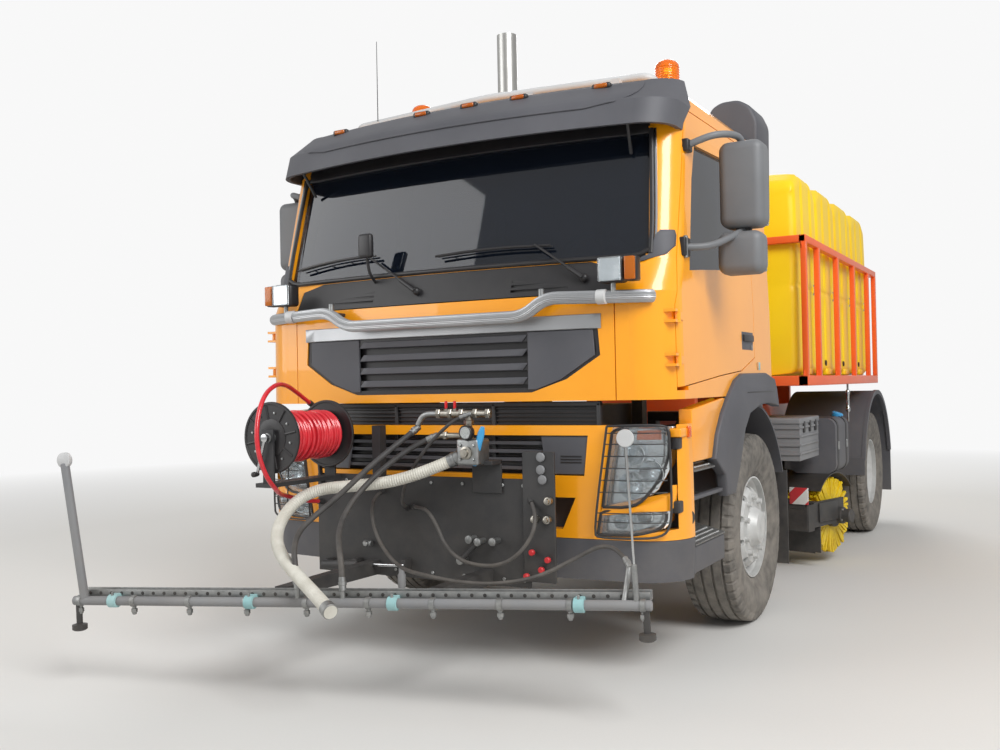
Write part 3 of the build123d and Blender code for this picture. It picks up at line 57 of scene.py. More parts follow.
AXLE_Z = (rim_low.z + rim_high.z) / 2
TAU = 2 * math.pi
# Road dust is thickest up to this height in metres
DUST_FROM = 0.1
# Share of the dust that is left above its top
DUST_ABOVE = 0.12
# Smears of dust to a metre
SMEARS = 7.0
# Directions of turned shapes, besides the three axes
AHEAD = (0.0, -1.0, 0.0)
DOWN = (0.0, 0.0, -1.0)


class Axis(Enum):
    """The direction that a shape is turned about or carried along."""

    X = 0
    Y = 1
    Z = 2


def linear(code: str) -> tuple[float, float, float, float]:
    """Turns an sRGB hex colour into the linear values that a shader takes.

    Args:
        code: The colour, as #rrggbb.

    Returns:
        Red, green, blue and a full alpha.
    """
    parts = [int(code[i:i + 2], 16) / 255 for i in (1, 3, 5)]
    return tuple(c / 12.92 if c <= 0.04045 else ((c + 0.055) / 1.055) ** 2.4 for c in parts) + (1.0,)


def node(tree: bpy.types.NodeTree, kind: str, inputs: dict | None = None, **settings) -> bpy.types.Node:
    """Adds a shader node with its settings, values and links.

    Args:
        tree: The material's node tree.
        kind: The node's type without its ShaderNode prefix.
        inputs: Values or output sockets by input name or number.
        **settings: Properties of the node.

    Returns:
        The new node.
    """
    made = tree.nodes.new("ShaderNode" + kind)
    for key, value in settings.items():
        setattr(made, key, value)
    for key, value in (inputs or {}).items():
        if isinstance(value, bpy.types.NodeSocket):
            tree.links.new(value, made.inputs[key])
        else:
            made.inputs[key].default_value = value
    return made


@dataclass(frozen=True)
class Finish:
    """A surface: two tones in soft patches, road dust that thins with height, and a fine grain.

    Attributes:
        name: The real material and how its surface was made.
        tone: Main colour.
        patch: Colour of the soft patches.
        rough: Roughness of the clean surface.
        metallic: 1 for bare metal.
        coat: Weight of a clear coat.
        patch_mm: Width of the patches.
        grain_mm: Width of the grain.
        grain_deep_mm: Depth of the grain.
        dust: Share of road dust near the ground.
        dust_top: Height, in metres, where the road dust ends.
        dust_tone: Colour of the dust.
    """

    name: str
    tone: str
    patch: str
    rough: float = 0.45
    metallic: float = 0.0
    coat: float = 0.0
    patch_mm: float = 350.0
    grain_mm: float = 3.0
    grain_deep_mm: float = 0.05
    dust: float = 0.3
    dust_top: float = 1.2
    dust_tone: str = "#8d857a"

    def colour(self, tree: bpy.types.NodeTree, place: bpy.types.NodeSocket) -> bpy.types.NodeSocket:
        """The clean colour: the two tones mixed by noise as wide as the patches."""
        noise = node(tree, "TexNoise", {"Vector": place, "Scale": 1000 / self.patch_mm, "Detail": 5.0})
        soft = node(tree, "MapRange", {"Value": noise.outputs["Fac"], "From Min": 0.35, "From Max": 0.7})
        mixed = node(tree, "Mix", {0: soft.outputs[0], 6: linear(self.tone), 7: linear(self.patch)},
                     data_type="RGBA")
        return mixed.outputs[2]

    def relief(self, tree: bpy.types.NodeTree, place: bpy.types.NodeSocket) -> bpy.types.NodeSocket:
        """The height of the grain: noise as wide as one grain."""
        grain = node(tree, "TexNoise", {"Vector": place, "Scale": 1000 / self.grain_mm, "Detail": 3.0})
        return grain.outputs["Fac"]

    def special(self, shader: bpy.types.Node) -> None:
        """Sets sockets that only some finishes use."""

    def material(self) -> bpy.types.Material:
        """Makes the material once and gives it again after that.

        Returns:
            The Blender material.
        """
        made = bpy.data.materials.get(self.name)
        if made:
            return made
        made = bpy.data.materials.new(self.name)
        made.use_nodes = True
        tree = made.node_tree
        tree.nodes.clear()
        place = node(tree, "TexCoord").outputs["Object"]
        height = node(tree, "SeparateXYZ", {0: place}).outputs["Z"]
        low = node(tree, "MapRange", {"Value": height, "From Min": DUST_FROM, "From Max": self.dust_top,
                                      "To Min": self.dust, "To Max": self.dust * DUST_ABOVE})
        blotch = node(tree, "TexNoise", {"Vector": place, "Scale": SMEARS, "Detail": 6.0, "Roughness": 0.65})
        spread = node(tree, "MapRange", {"Value": blotch.outputs["Fac"], "From Min": 0.3, "From Max": 0.65,
                                         "To Min": 0.4, "To Max": 1.5})
        dirt = node(tree, "Math", {0: low.outputs[0], 1: spread.outputs[0]}, operation="MULTIPLY",
                    use_clamp=True)
        colour = node(tree, "Mix", {0: dirt.outputs[0], 6: self.colour(tree, place),
                                    7: linear(self.dust_tone)}, data_type="RGBA")
        rough = node(tree, "MapRange", {"Value": dirt.outputs[0], "From Min": 0.0, "From Max": 0.8,
                                        "To Min": self.rough, "To Max": max(0.85, self.rough)})
        bump = node(tree, "Bump", {"Strength": 0.5, "Distance": self.grain_deep_mm / 1000,
                                   "Height": self.relief(tree, place)})
        shader = node(tree, "BsdfPrincipled", {"Base Color": colour.outputs[2], "Roughness": rough.outputs[0],
                                               "Metallic": self.metallic, "Coat Weight": self.coat,
                                               "Normal": bump.outputs[0]})
        self.special(shader)
        node(tree, "OutputMaterial", {0: shader.outputs[0]})
        return made


@dataclass(frozen=True)
class Glass(Finish):
    """Clear or tinted glass or lens plastic: light goes through, and the surface is smooth.

    Attributes:
        through: Share of the light that goes through.
        index: Its index of refraction.
    """

    through: float = 0.9
    index: float = 1.5

    def special(self, shader: bpy.types.Node) -> None:
        """Lets light through."""
        shader.inputs["Transmission Weight"].default_value = self.through
        shader.inputs["IOR"].default_value = self.index


@dataclass(frozen=True)
class Hatched(Finish):
    """Slanted stripes of two colours, as on a marker plate.

    Attributes:
        stripe_mm: Width of a stripe.
    """

    stripe_mm: float = 60.0

    def colour(self, tree: bpy.types.NodeTree, place: bpy.types.NodeSocket) -> bpy.types.NodeSocket:
        """Hard bands at 45 degrees: X less Z goes to and fro over two stripes, and is split at one."""
        one, two = (self.stripe_mm * reach / 1000 for reach in (1.41, 2.83))
        split = node(tree, "SeparateXYZ", {0: place})
        slant = node(tree, "Math", {0: split.outputs["X"], 1: split.outputs["Z"]}, operation="SUBTRACT")
        bands = node(tree, "Math", {0: slant.outputs[0], 1: two}, operation="PINGPONG")
        step = node(tree, "Math", {0: bands.outputs[0], 1: one}, operation="GREATER_THAN")
        mixed = node(tree, "Mix", {0: step.outputs[0], 6: linear(self.tone), 7: linear(self.patch)},
                     data_type="RGBA")
        return mixed.outputs[2]


# Two-pack vehicle enamel, sprayed: even, glossy under a clear coat, dusty towards the ground
CAB_PAINT = Finish("orange vehicle enamel", "#ffa814", "#fba20f", 0.28, coat=0.6, grain_mm=1.2,
                   grain_deep_mm=0.01, dust=0.05, dust_tone="#c29a62")
# Enamel on welded box section: brushed on, a little uneven
CAGE_PAINT = Finish("red-orange steel enamel", "#f4641a", "#ee5a14", 0.42, coat=0.2, grain_mm=4,
                    grain_deep_mm=0.12, dust=0.25, dust_top=1.6)
# Rotation-moulded polyethylene: waxy, even colour, slight orange-peel skin
TANK_PLASTIC = Finish("yellow rotomoulded polyethylene", "#ffd800", "#fbcf00", 0.4, patch_mm=600, grain_mm=9,
                      grain_deep_mm=0.25, dust=0.08, dust_top=2.0)
# Unpainted moulded polypropylene with a fine spark-eroded grain, bleached and dusty
GREY_PLASTIC = Finish("dark grey grained polypropylene", "#4b4c52", "#55565c", 0.55, grain_mm=1.5,
                      grain_deep_mm=0.12, dust=0.2)
MIRROR_PLASTIC = Finish("mid grey mirror housing polypropylene", "#6b6d70", "#75777a", 0.5, grain_mm=2,
                        dust=0.1)
LIGHT_PLASTIC = Finish("light grey moulded polypropylene", "#85878a", "#787a7e", 0.5, grain_mm=2, dust=0.3)
BLACK_PLASTIC = Finish("black moulded ABS", "#1b1b1e", "#242428", 0.4, grain_mm=2, dust=0.2)
# Chassis enamel under road film
CHASSIS_PAINT = Finish("charcoal chassis enamel", "#2e2e30", "#3a3836", 0.6, grain_mm=6, grain_deep_mm=0.2,
                       dust=0.55, dust_top=1.4)
BLACK_STEEL = Finish("black powder-coated steel", "#202124", "#2b2c2f", 0.5, grain_mm=3, dust=0.15)
# Zinc-plated or galvanised steel: grey, mottled, half dull
ZINC = Finish("galvanised steel", "#a6a8a8", "#8e9192", 0.42, metallic=1.0, patch_mm=25, grain_mm=4, dust=0.3)
BRIGHT = Finish("polished stainless steel", "#c9cbcc", "#b9bbbd", 0.16, metallic=1.0, grain_mm=8, dust=0.08)
TUBE_ALLOY = Finish("ribbed aluminium tube", "#b4b6b8", "#a5a7aa", 0.38, metallic=0.8, grain_mm=2, dust=0.15)
STACK_STEEL = Finish("brushed stainless exhaust tube", "#b9b9b6", "#acaca9", 0.35, metallic=1.0, grain_mm=8,
                     dust=0.1)
NICKEL = Finish("nickel-plated pipe fitting", "#b3afa6", "#9c978d", 0.32, metallic=1.0, patch_mm=20,
                dust=0.15)
WHITE_PAINT = Finish("white painted steel", "#c9cacb", "#bfc0c0", 0.4, dust=0.2, dust_top=1.5)
RED_PLASTIC = Finish("red moulded plastic", "#d3202a", "#c01822", 0.4, dust=0.1)
BLUE_PLASTIC = Finish("blue lever enamel", "#3fa0d8", "#3894ca", 0.35, dust=0.1)
TEAL_PLASTIC = Finish("pale teal clamp nylon", "#86bcc0", "#a4cacb", 0.5, dust=0.2)
RIM_PAINT = Finish("silver wheel enamel", "#d2d3d2", "#c3c4c3", 0.42, metallic=0.25, patch_mm=60, dust=0.2)
# Carbon-black rubber greyed by road dust: matt, the dust lies in broad smears
RUBBER = Finish("dusty tyre rubber", "#3d3c3b", "#6e6a64", 0.85, patch_mm=45, grain_mm=3, grain_deep_mm=0.3,
                dust=0.5, dust_top=1.3, dust_tone="#9a938a")
HOSE_RUBBER = Finish("black fabric-wrapped hose rubber", "#232326", "#37373a", 0.55, patch_mm=60, grain_mm=1,
                     grain_deep_mm=0.2, dust=0.4)
HOSE_WHITE = Finish("white ribbed suction hose PVC", "#e2e0d6", "#cfccc0", 0.4, patch_mm=80, dust=0.25)
HOSE_RED = Finish("red smooth hose PVC", "#e0303c", "#cf2532", 0.28, coat=0.3, patch_mm=90, dust=0.08)
HOSE_GREEN = Finish("green stripe in hose rubber", "#6fae5c", "#5f9c4e", 0.5, dust=0.25)
BRISTLES = Finish("yellow polypropylene bristles", "#f0d000", "#e2b800", 0.5, patch_mm=30, dust=0.12,
                  dust_top=0.7)
GAUGE_FACE = Finish("painted gauge face", "#ecebe4", "#dddcd4", 0.3, dust=0.05)
AMBER = Glass("amber lamp polycarbonate", "#ff8a10", "#ff7a08", 0.12, dust=0.05, through=0.55)
LENS = Glass("clear lamp polycarbonate", "#f2f5f7", "#e9eef0", 0.06, dust=0.05, through=0.92)
WINDOW = Glass("dark tinted window glass", "#2c3648", "#283242", 0.03, grain_deep_mm=0.0, dust=0.0,
               through=0.8)
REFLECTOR = Finish("aluminised lamp reflector", "#d6dadc", "#bfc5c8", 0.14, metallic=1.0, grain_mm=14,
                   grain_deep_mm=1.2, dust=0.0)
SEAT_CLOTH = Finish("grey woven seat cloth", "#3a3d44", "#2f3238", 0.9, patch_mm=60, grain_mm=1.5,
                    grain_deep_mm=0.4, dust=0.05)
HATCH = Hatched("red and white reflective sheeting", "#e9e7e2", "#cf2430", 0.35, dust=0.2, stripe_mm=34)
TREAD_PLATE = Finish("perforated step plate", "#9b9c9c", "#5c5d5d", 0.45, metallic=0.9, patch_mm=9,
                     grain_mm=9, grain_deep_mm=1.0, dust=0.3)


def chaikin(points: np.ndarray, rounds: int = 3) -> np.ndarray:
    """Rounds an open path: each run is cut at a quarter and three quarters, the ends stay."""
    path = np.asarray(points, float)
    for _ in range(rounds):
        early, late = path[:-1] * 0.75 + path[1:] * 0.25, path[:-1] * 0.25 + path[1:] * 0.75
        middle = np.stack([early, late], 1).reshape(-1, path.shape[1])
        path = np.vstack([path[:1], middle[1:-1], path[-1:]])
    return path


def curves(path: np.ndarray, reach: float, steps: int) -> np.ndarray:
    """A curve in place of each inner corner of a path, between two points beside the corner.

    Args:
        path: Points of the path, in the plane or in space.
        reach: How far from the corner the curve starts.
        steps: Points on each curve, less one.

    Returns:
        The points of all curves in a row.
    """
    corner = path[1:-1]
    before, after = path[:-2] - corner, path[2:] - corner
    run_in, run_out = (np.linalg.norm(run, axis=1, keepdims=True) for run in (before, after))
    start = corner + before / run_in * np.minimum(reach, 0.45 * run_in)
    end = corner + after / run_out * np.minimum(reach, 0.45 * run_out)
    t = np.linspace(0, 1, steps + 1)[None, :, None]
    curve = start[:, None] * (1 - t) ** 2 + corner[:, None] * 2 * t * (1 - t) + end[:, None] * t ** 2
    return curve.reshape(-1, path.shape[1])


def bent(points: list, reach: float, steps: int = 6) -> np.ndarray:
    """An open path with round corners."""
    path = np.array(points, float)
    return np.vstack([path[:1], curves(path, reach, steps), path[-1:]])


def rounded(outline: list, reach: float, steps: int = 4) -> np.ndarray:
    """A closed outline with round corners."""
    flat = np.array(outline, float)
    return curves(np.vstack([flat[-1:], flat, flat[:1]]), reach, steps)


def tube_grid(path: np.ndarray, radius: float | np.ndarray, sides: int) -> np.ndarray:
    """A round tube along a path: at each point a circle in the plane across the path's direction.

    The plane's first direction is across the direction that the path turns to least, so it never vanishes.

    Args:
        path: Points of the centreline, (n, 3).
        radius: One radius or one for each point.
        sides: Points in each circle.

    Returns:
        The grid's points, (n, sides, 3).
    """
    ahead = np.gradient(path, axis=0)
    ahead /= np.linalg.norm(ahead, axis=1, keepdims=True)
    still = np.linalg.svd(ahead)[2][-1]
    side = np.cross(ahead, still)
    side /= np.linalg.norm(side, axis=1, keepdims=True)
    up = np.cross(ahead, side)
    angle = np.linspace(0, TAU, sides, endpoint=False)
    circle = np.cos(angle)[None, :, None] * side[:, None] + np.sin(angle)[None, :, None] * up[:, None]
    return path[:, None] + np.reshape(radius, (-1, 1, 1)) * circle


def soft_box(low: tuple, high: tuple, radius: float, steps: int = 3) -> np.ndarray:
    """A box with round edges: a rounded rectangle at each level, drawn in by a quarter circle at both ends.

    Args:
        low: One corner.
        high: The corner across from it.
        radius: Radius of the edges.
        steps: Points on each quarter circle, less one.

    Returns:
        The grid's points, levels by points around.
    """
    low, high = np.array(low, float), np.array(high, float)
    middle, half = (low + high) / 2, abs(high - low) / 2
    quarter = np.linspace(0, math.pi / 2, steps + 1)
    angle = (np.arange(4)[:, None] * math.pi / 2 + quarter).ravel()
    signs = np.array([(1, 1), (-1, 1), (-1, -1), (1, -1)])
    corner = np.repeat(signs * (half[:2] - radius), steps + 1, axis=0)
    # The quarter circle stops at 80 degrees, so that the points round an end face's corner don't coincide
    steep = math.radians(80)
    rise = np.linspace(0, steep, steps + 1)
    tilt = np.concatenate([rise - steep, rise])
    level = np.repeat([-1, 1], steps + 1) * (half[2] - radius) + radius * np.sin(tilt) / math.sin(steep)
    ring = np.stack([np.cos(angle), np.sin(angle)], -1)
    flat = corner[None] + radius * np.cos(tilt)[:, None, None] * ring[None]
    upright = np.broadcast_to(level[:, None, None], flat.shape[:2] + (1,))
    return np.concatenate([flat, upright], -1) + middle


def shrink(outline: np.ndarray, step: float) -> np.ndarray:
    """An outline with each corner moved inwards along its bisector, so that every side moves by step."""
    ahead = np.roll(outline, -1, axis=0) - outline
    ahead /= np.linalg.norm(ahead, axis=1, keepdims=True)
    back = np.roll(ahead, 1, axis=0)
    x, y = outline.T
    turn = np.sign(np.sum(x * np.roll(y, -1) - y * np.roll(x, -1)))
    bisector = np.stack([-(ahead + back)[:, 1], (ahead + back)[:, 0]], -1) * turn
    length = np.linalg.norm(bisector, axis=1, keepdims=True)
    return outline + step * bisector / (length * length / 2)


def prism_grid(outline: list, axis: Axis, low: float, high: float, radius: float) -> np.ndarray:
    """An outline carried along an axis, drawn in by a quarter circle at both ends.

    Args:
        outline: Points in the plane across the axis, the two other coordinates in order.
        axis: The direction of the prism.
        low: Where it starts.
        high: Where it ends.
        radius: Radius of the end edges.

    Returns:
        The grid's points, levels by outline points.
    """
    flat = np.array(outline, float)
    tilt = np.radians([90, 60, 30, 0]) if radius else np.array([0.0])
    inset = radius * (1 - np.cos(tilt))
    depth = radius * (1 - np.sin(tilt))
    rings = [shrink(flat, step) for step in inset]
    rings = rings + rings[::-1]
    along = np.concatenate([low + depth, (high - depth)[::-1]])
    points = np.insert(np.array(rings), axis.value, 0.0, axis=2)
    points[:, :, axis.value] = along[:, None]
    return points


def turned(points: np.ndarray, centre: tuple, yaw: float, tilt: float = 0.0) -> np.ndarray:
    """Points turned about Y by tilt and then about Z by yaw, in degrees, and moved to a centre."""
    turn = Matrix.Rotation(math.radians(yaw), 3, "Z") @ Matrix.Rotation(math.radians(tilt), 3, "Y")
    return points @ np.array(turn).T + np.array(centre)


class Piece:
    """One named mesh gathered from grids, whose points are written from the front axle."""

    def __init__(self, name: str, body: str = "chassis", slot: str | None = None) -> None:
        """Starts an empty piece that rides on a body; the material slot's name is kept but not used."""
        self.name, self.body, self.slot = name, body, slot
        self.points: list[np.ndarray] = []
        self.faces: list[list[int]] = []
        self.marks: list[int] = []
        self.finishes: list[Finish] = []
        self.count = 0

    def mark(self, finish: Finish) -> int:
        """The number of a finish on this piece."""
        if finish not in self.finishes:
            self.finishes.append(finish)
        return self.finishes.index(finish)

    def grid(self, points: np.ndarray, finish: Finish, around: bool = True, ring: bool = False,
             stripe: tuple[slice, Finish] | None = None) -> "Piece":
        """Adds a surface of rows by columns, with its end rows closed by faces.

        Args:
            points: The grid, (rows, columns, 3).
            finish: Its finish.
            around: Whether the last column joins the first.
            ring: Whether the last row joins the first.
            stripe: Columns that have another finish, and that finish.

        Returns:
            The piece itself.
        """
        rows, columns = points.shape[:2]
        index = np.arange(rows * columns).reshape(rows, columns) + self.count
        ends = [index[0].tolist()[::-1], index[-1].tolist()]
        index = np.vstack([index, index[:1]]) if ring else index
        index = np.hstack([index, index[:, :1]]) if around else index
        quads = np.stack([index[:-1, :-1], index[:-1, 1:], index[1:, 1:], index[1:, :-1]], -1)
        marks = np.full(quads.shape[:2], self.mark(finish))
        if stripe:
            marks[:, stripe[0]] = self.mark(stripe[1])
        self.faces += quads.reshape(-1, 4).tolist()
        self.marks += marks.ravel().tolist()
        if around and not ring:
            self.faces += ends
            self.marks += [self.mark(finish)] * 2
        self.points.append(points.reshape(-1, 3))
        self.count += rows * columns
        return self

    def lathe(self, profile: list, start: tuple, axis: Axis | tuple, finish: Finish,
              sides: int = 40) -> "Piece":
        """Adds a turned shape: rings of the given radius at the given distance along an axis.

        Args:
            profile: Pairs of distance along the axis and radius.
            start: Where the axis starts.
            axis: Its direction.
            finish: The finish.
            sides: Points in each ring.

        Returns:
            The piece itself.
        """
        ahead = np.array(axis, float) if isinstance(axis, tuple) else np.eye(3)[axis.value]
        ahead /= np.linalg.norm(ahead)
        side = np.cross(ahead, (0.0, 0.0, 1.0) if abs(ahead[2]) < 0.9 else (1.0, 0.0, 0.0))
        side /= np.linalg.norm(side)
        up = np.cross(ahead, side)
        rows = np.array(profile, float)
        angle = np.linspace(0, TAU, sides, endpoint=False)
        circle = np.cos(angle)[:, None] * side + np.sin(angle)[:, None] * up
        points = np.array(start) + rows[:, :1, None] * ahead + rows[:, 1:, None] * circle[None]
        return self.grid(points, finish)

    def rod(self, start: tuple, end: tuple, radius: float, finish: Finish, sides: int = 14) -> "Piece":
        """Adds a round bar with softened ends from one point to another."""
        way = np.array(end, float) - np.array(start, float)
        length, soft = float(np.linalg.norm(way)), radius * 0.2
        profile = [(0, radius - soft), (soft, radius), (length - soft, radius), (length, radius - soft)]
        return self.lathe(profile, start, tuple(way), finish, sides)

    def tube(self, points: list, radius: float, finish: Finish, sides: int = 14, rounds: int = 3) -> "Piece":
        """Adds a bent tube along a rounded path."""
        return self.grid(tube_grid(chaikin(np.array(points, float), rounds), radius, sides), finish)

    def box(self, low: tuple, high: tuple, finish: Finish, radius: float = 0.004) -> "Piece":
        """Adds a box with round edges."""
        return self.grid(soft_box(low, high, radius), finish)

    def prism(self, outline: list, axis: Axis, low: float, high: float, finish: Finish, soft: float = 0.004,
              corner: float = 0.0) -> "Piece":
        """Adds an outline carried along an axis, with round end edges and, if asked, round corners."""
        flat = rounded(outline, corner) if corner else outline
        return self.grid(prism_grid(flat, axis, low, high, soft), finish)

    def turn(self, centre: tuple, yaw: float, tilt: float = 0.0) -> None:
        """Turns all shapes so far about Y by tilt and then about Z by yaw, in degrees, and moves them."""
        self.points = [turned(np.vstack(self.points), centre, yaw, tilt)]

    def mirror(self) -> "Piece":
        """Adds the same shapes on the truck's other side."""
        flipped = np.vstack(self.points) * (-1, 1, 1)
        self.faces += [[i + self.count for i in face[::-1]] for face in self.faces]
        self.marks += self.marks
        self.points.append(flipped)
        self.count *= 2
        return self

    def place(self, *replaced: str, sharp: float = 35.0) -> bpy.types.Object:
        """Makes the mesh in the row frame, with outward faces, and lets it ride on its body.

        Args:
            *replaced: CAD nodes that the piece stands for.
            sharp: Angle in degrees above which an edge is sharp.

        Returns:
            The object.
        """
        mesh = bpy.data.meshes.new(self.name)
        points = np.vstack(self.points) + (0.0, AXLE_Y, 0.0)
        mesh.from_pydata(points.tolist(), [], self.faces)
        mesh.polygons.foreach_set("material_index", self.marks)
        for finish in self.finishes:
            mesh.materials.append(finish.material())
        work = bmesh.new()
        work.from_mesh(mesh)
        bmesh.ops.recalc_face_normals(work, faces=work.faces)
        work.to_mesh(mesh)
        work.free()
        mesh.shade_smooth()
        mesh.set_sharp_from_angle(angle=math.radians(sharp))
        made = bpy.data.objects.new(self.name, mesh)
        bpy.context.scene.collection.objects.link(made)
        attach(made, self.body)
        if replaced:
            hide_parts(*replaced)
        log.info("%s: %d faces", self.name, len(mesh.polygons))
        return made


def dress(finish: Finish, *names: str) -> None:
    """Gives the named CAD nodes a finish."""
    for name in names:
        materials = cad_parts[name].data.materials
        materials.clear()
        materials.append(finish.material())


@dataclass
class Studio:
    """Pale floor, soft lamps and the camera at the photograph's place.

    Attributes:
        lens: Focal length in mm on a 36 mm sensor.
        place: The camera's place in the row frame.
        yaw: Turn of the view to the truck's right, in degrees.
        pitch: Rise of the view.
        roll: Lean of the camera about its view.
        lamps: Name, place, aim, width in metres and power in watts of each lamp.
        floor_radius: Radius of the floor.
        floor_fade: Distances at which the floor starts to turn into the background, and at which it has.
        background: Brightness of the background.
    """

    lens: float = 36.138
    place: tuple = (2.736, -6.8376, 1.365)
    yaw: float = 29.36
    pitch: float = 0.64
    roll: float = 1.14
    lamps: tuple = (("key", (7.5, -6.5, 8.0), (0, 0, 1.2), 5.0, 950),
                    ("fill", (-8.0, -9.0, 5.0), (0, -1, 1.2), 7.0, 420),
                    ("back", (-4.0, 10.0, 8.0), (0, 1, 1.5), 6.0, 650))
    floor_radius: float = 30.0
    floor_fade: tuple = (6.0, 14.0)
    background: float = 0.94

    def camera(self) -> None:
        """Sets the camera, looking along the view direction with its up leaned by the roll."""
        yaw, pitch, roll = (math.radians(a) for a in (self.yaw, self.pitch, self.roll))
        ahead = Vector((-math.sin(yaw) * math.cos(pitch), math.cos(yaw) * math.cos(pitch), math.sin(pitch)))
        side = Vector((math.cos(yaw), math.sin(yaw), 0.0))
        up = side.cross(ahead)
        right = side * math.cos(roll) - up * math.sin(roll)
        top = up * math.cos(roll) + side * math.sin(roll)
        turn = Matrix((right, top, -ahead)).transposed().to_4x4()
        made = bpy.data.objects.new("camera", bpy.data.cameras.new("camera"))
        made.data.lens, made.data.sensor_width = self.lens, 36.0
        made.data.clip_end = 200
        made.matrix_world = Matrix.Translation(self.place) @ turn
        bpy.context.scene.collection.objects.link(made)
        bpy.context.scene.camera = made

    def lamp(self, name: str, place: tuple, aim: tuple, size: float, power: float) -> None:
        """Adds a square area lamp at a place, turned to its aim."""
        made = bpy.data.objects.new(name, bpy.data.lights.new(name, "AREA"))
        made.data.size, made.data.energy = size, power
        made.location = place
        made.rotation_euler = (Vector(aim) - Vector(place)).to_track_quat("-Z", "Y").to_euler()
        bpy.context.scene.collection.objects.link(made)

    def world(self) -> None:
        """Plain world light that camera, glossy and transmitted rays see as near white."""
        world = bpy.data.worlds.new("studio")
        world.use_nodes = True
        bpy.context.scene.world = world
        tree = world.node_tree
        tree.nodes.clear()
        ray = node(tree, "LightPath")
        seen = node(tree, "Math", {0: ray.outputs["Is Camera Ray"], 1: ray.outputs["Is Transmission Ray"]},
                    operation="MAXIMUM")
        # Diffuse rays get the least light, so that the lamps shape the truck, and glossy rays a little more
        glossy = node(tree, "MapRange", {"Value": ray.outputs["Is Glossy Ray"], "To Min": 0.42,
                                         "To Max": 0.62})
        strength = node(tree, "MapRange", {"Value": seen.outputs[0], "To Min": glossy.outputs[0],
                                           "To Max": self.background})
        light = node(tree, "Background", {"Color": (1.0, 1.0, 1.0, 1.0), "Strength": strength.outputs[0]})
        node(tree, "OutputWorld", {0: light.outputs[0]})

    def floor(self) -> None:
        """A round pale floor."""
        angle = np.linspace(0, TAU, 96, endpoint=False)
        rim = np.stack([np.cos(angle), np.sin(angle), 0 * angle], -1) * self.floor_radius
        mesh = bpy.data.meshes.new("floor")
        mesh.from_pydata(rim.tolist(), [], [list(range(len(rim)))])
        finish = bpy.data.materials.new("pale studio floor")
        finish.use_nodes = True
        tree = finish.node_tree
        tree.nodes.clear()
        place = node(tree, "TexCoord").outputs["Object"]
        speck = node(tree, "TexNoise", {"Vector": place, "Scale": 90.0, "Detail": 4.0})
        tone = node(tree, "Mix", {0: speck.outputs["Fac"], 6: linear("#d9d8d5"), 7: linear("#dddcd9")},
                    data_type="RGBA")
        shader = node(tree, "BsdfPrincipled", {"Base Color": tone.outputs[2], "Roughness": 0.9})
        shader.inputs["Specular IOR Level"].default_value = 0.1
        # Towards the horizon the camera sees the floor turn into the background's even tone
        away = node(tree, "VectorMath", {0: place}, operation="LENGTH")
        start, end = self.floor_fade
        fade = node(tree, "MapRange", {"Value": away.outputs["Value"], "From Min": start, "From Max": end})
        seen = node(tree, "LightPath")
        share = node(tree, "Math", {0: fade.outputs[0], 1: seen.outputs["Is Camera Ray"]},
                     operation="MULTIPLY")
        even = node(tree, "Emission", {"Color": (1.0, 1.0, 1.0, 1.0), "Strength": self.background})
        mixed = node(tree, "MixShader", {0: share.outputs[0], 1: shader.outputs[0], 2: even.outputs[0]})
        node(tree, "OutputMaterial", {0: mixed.outputs[0]})
        mesh.materials.append(finish)
        made = bpy.data.objects.new("floor", mesh)
        bpy.context.scene.collection.objects.link(made)

    def build(self) -> None:
        """Sets the camera, the lamps, the world and the floor."""
        self.camera()
        for lamp in self.lamps:
            self.lamp(*lamp)
        self.world()
        self.floor()
        bpy.context.scene.view_settings.view_transform = "Standard"


class HoseLook(Enum):
    """How a hose's wall is made."""

    SMOOTH = "smooth"
    RIBBED = "ribbed"
    STRIPED = "striped"


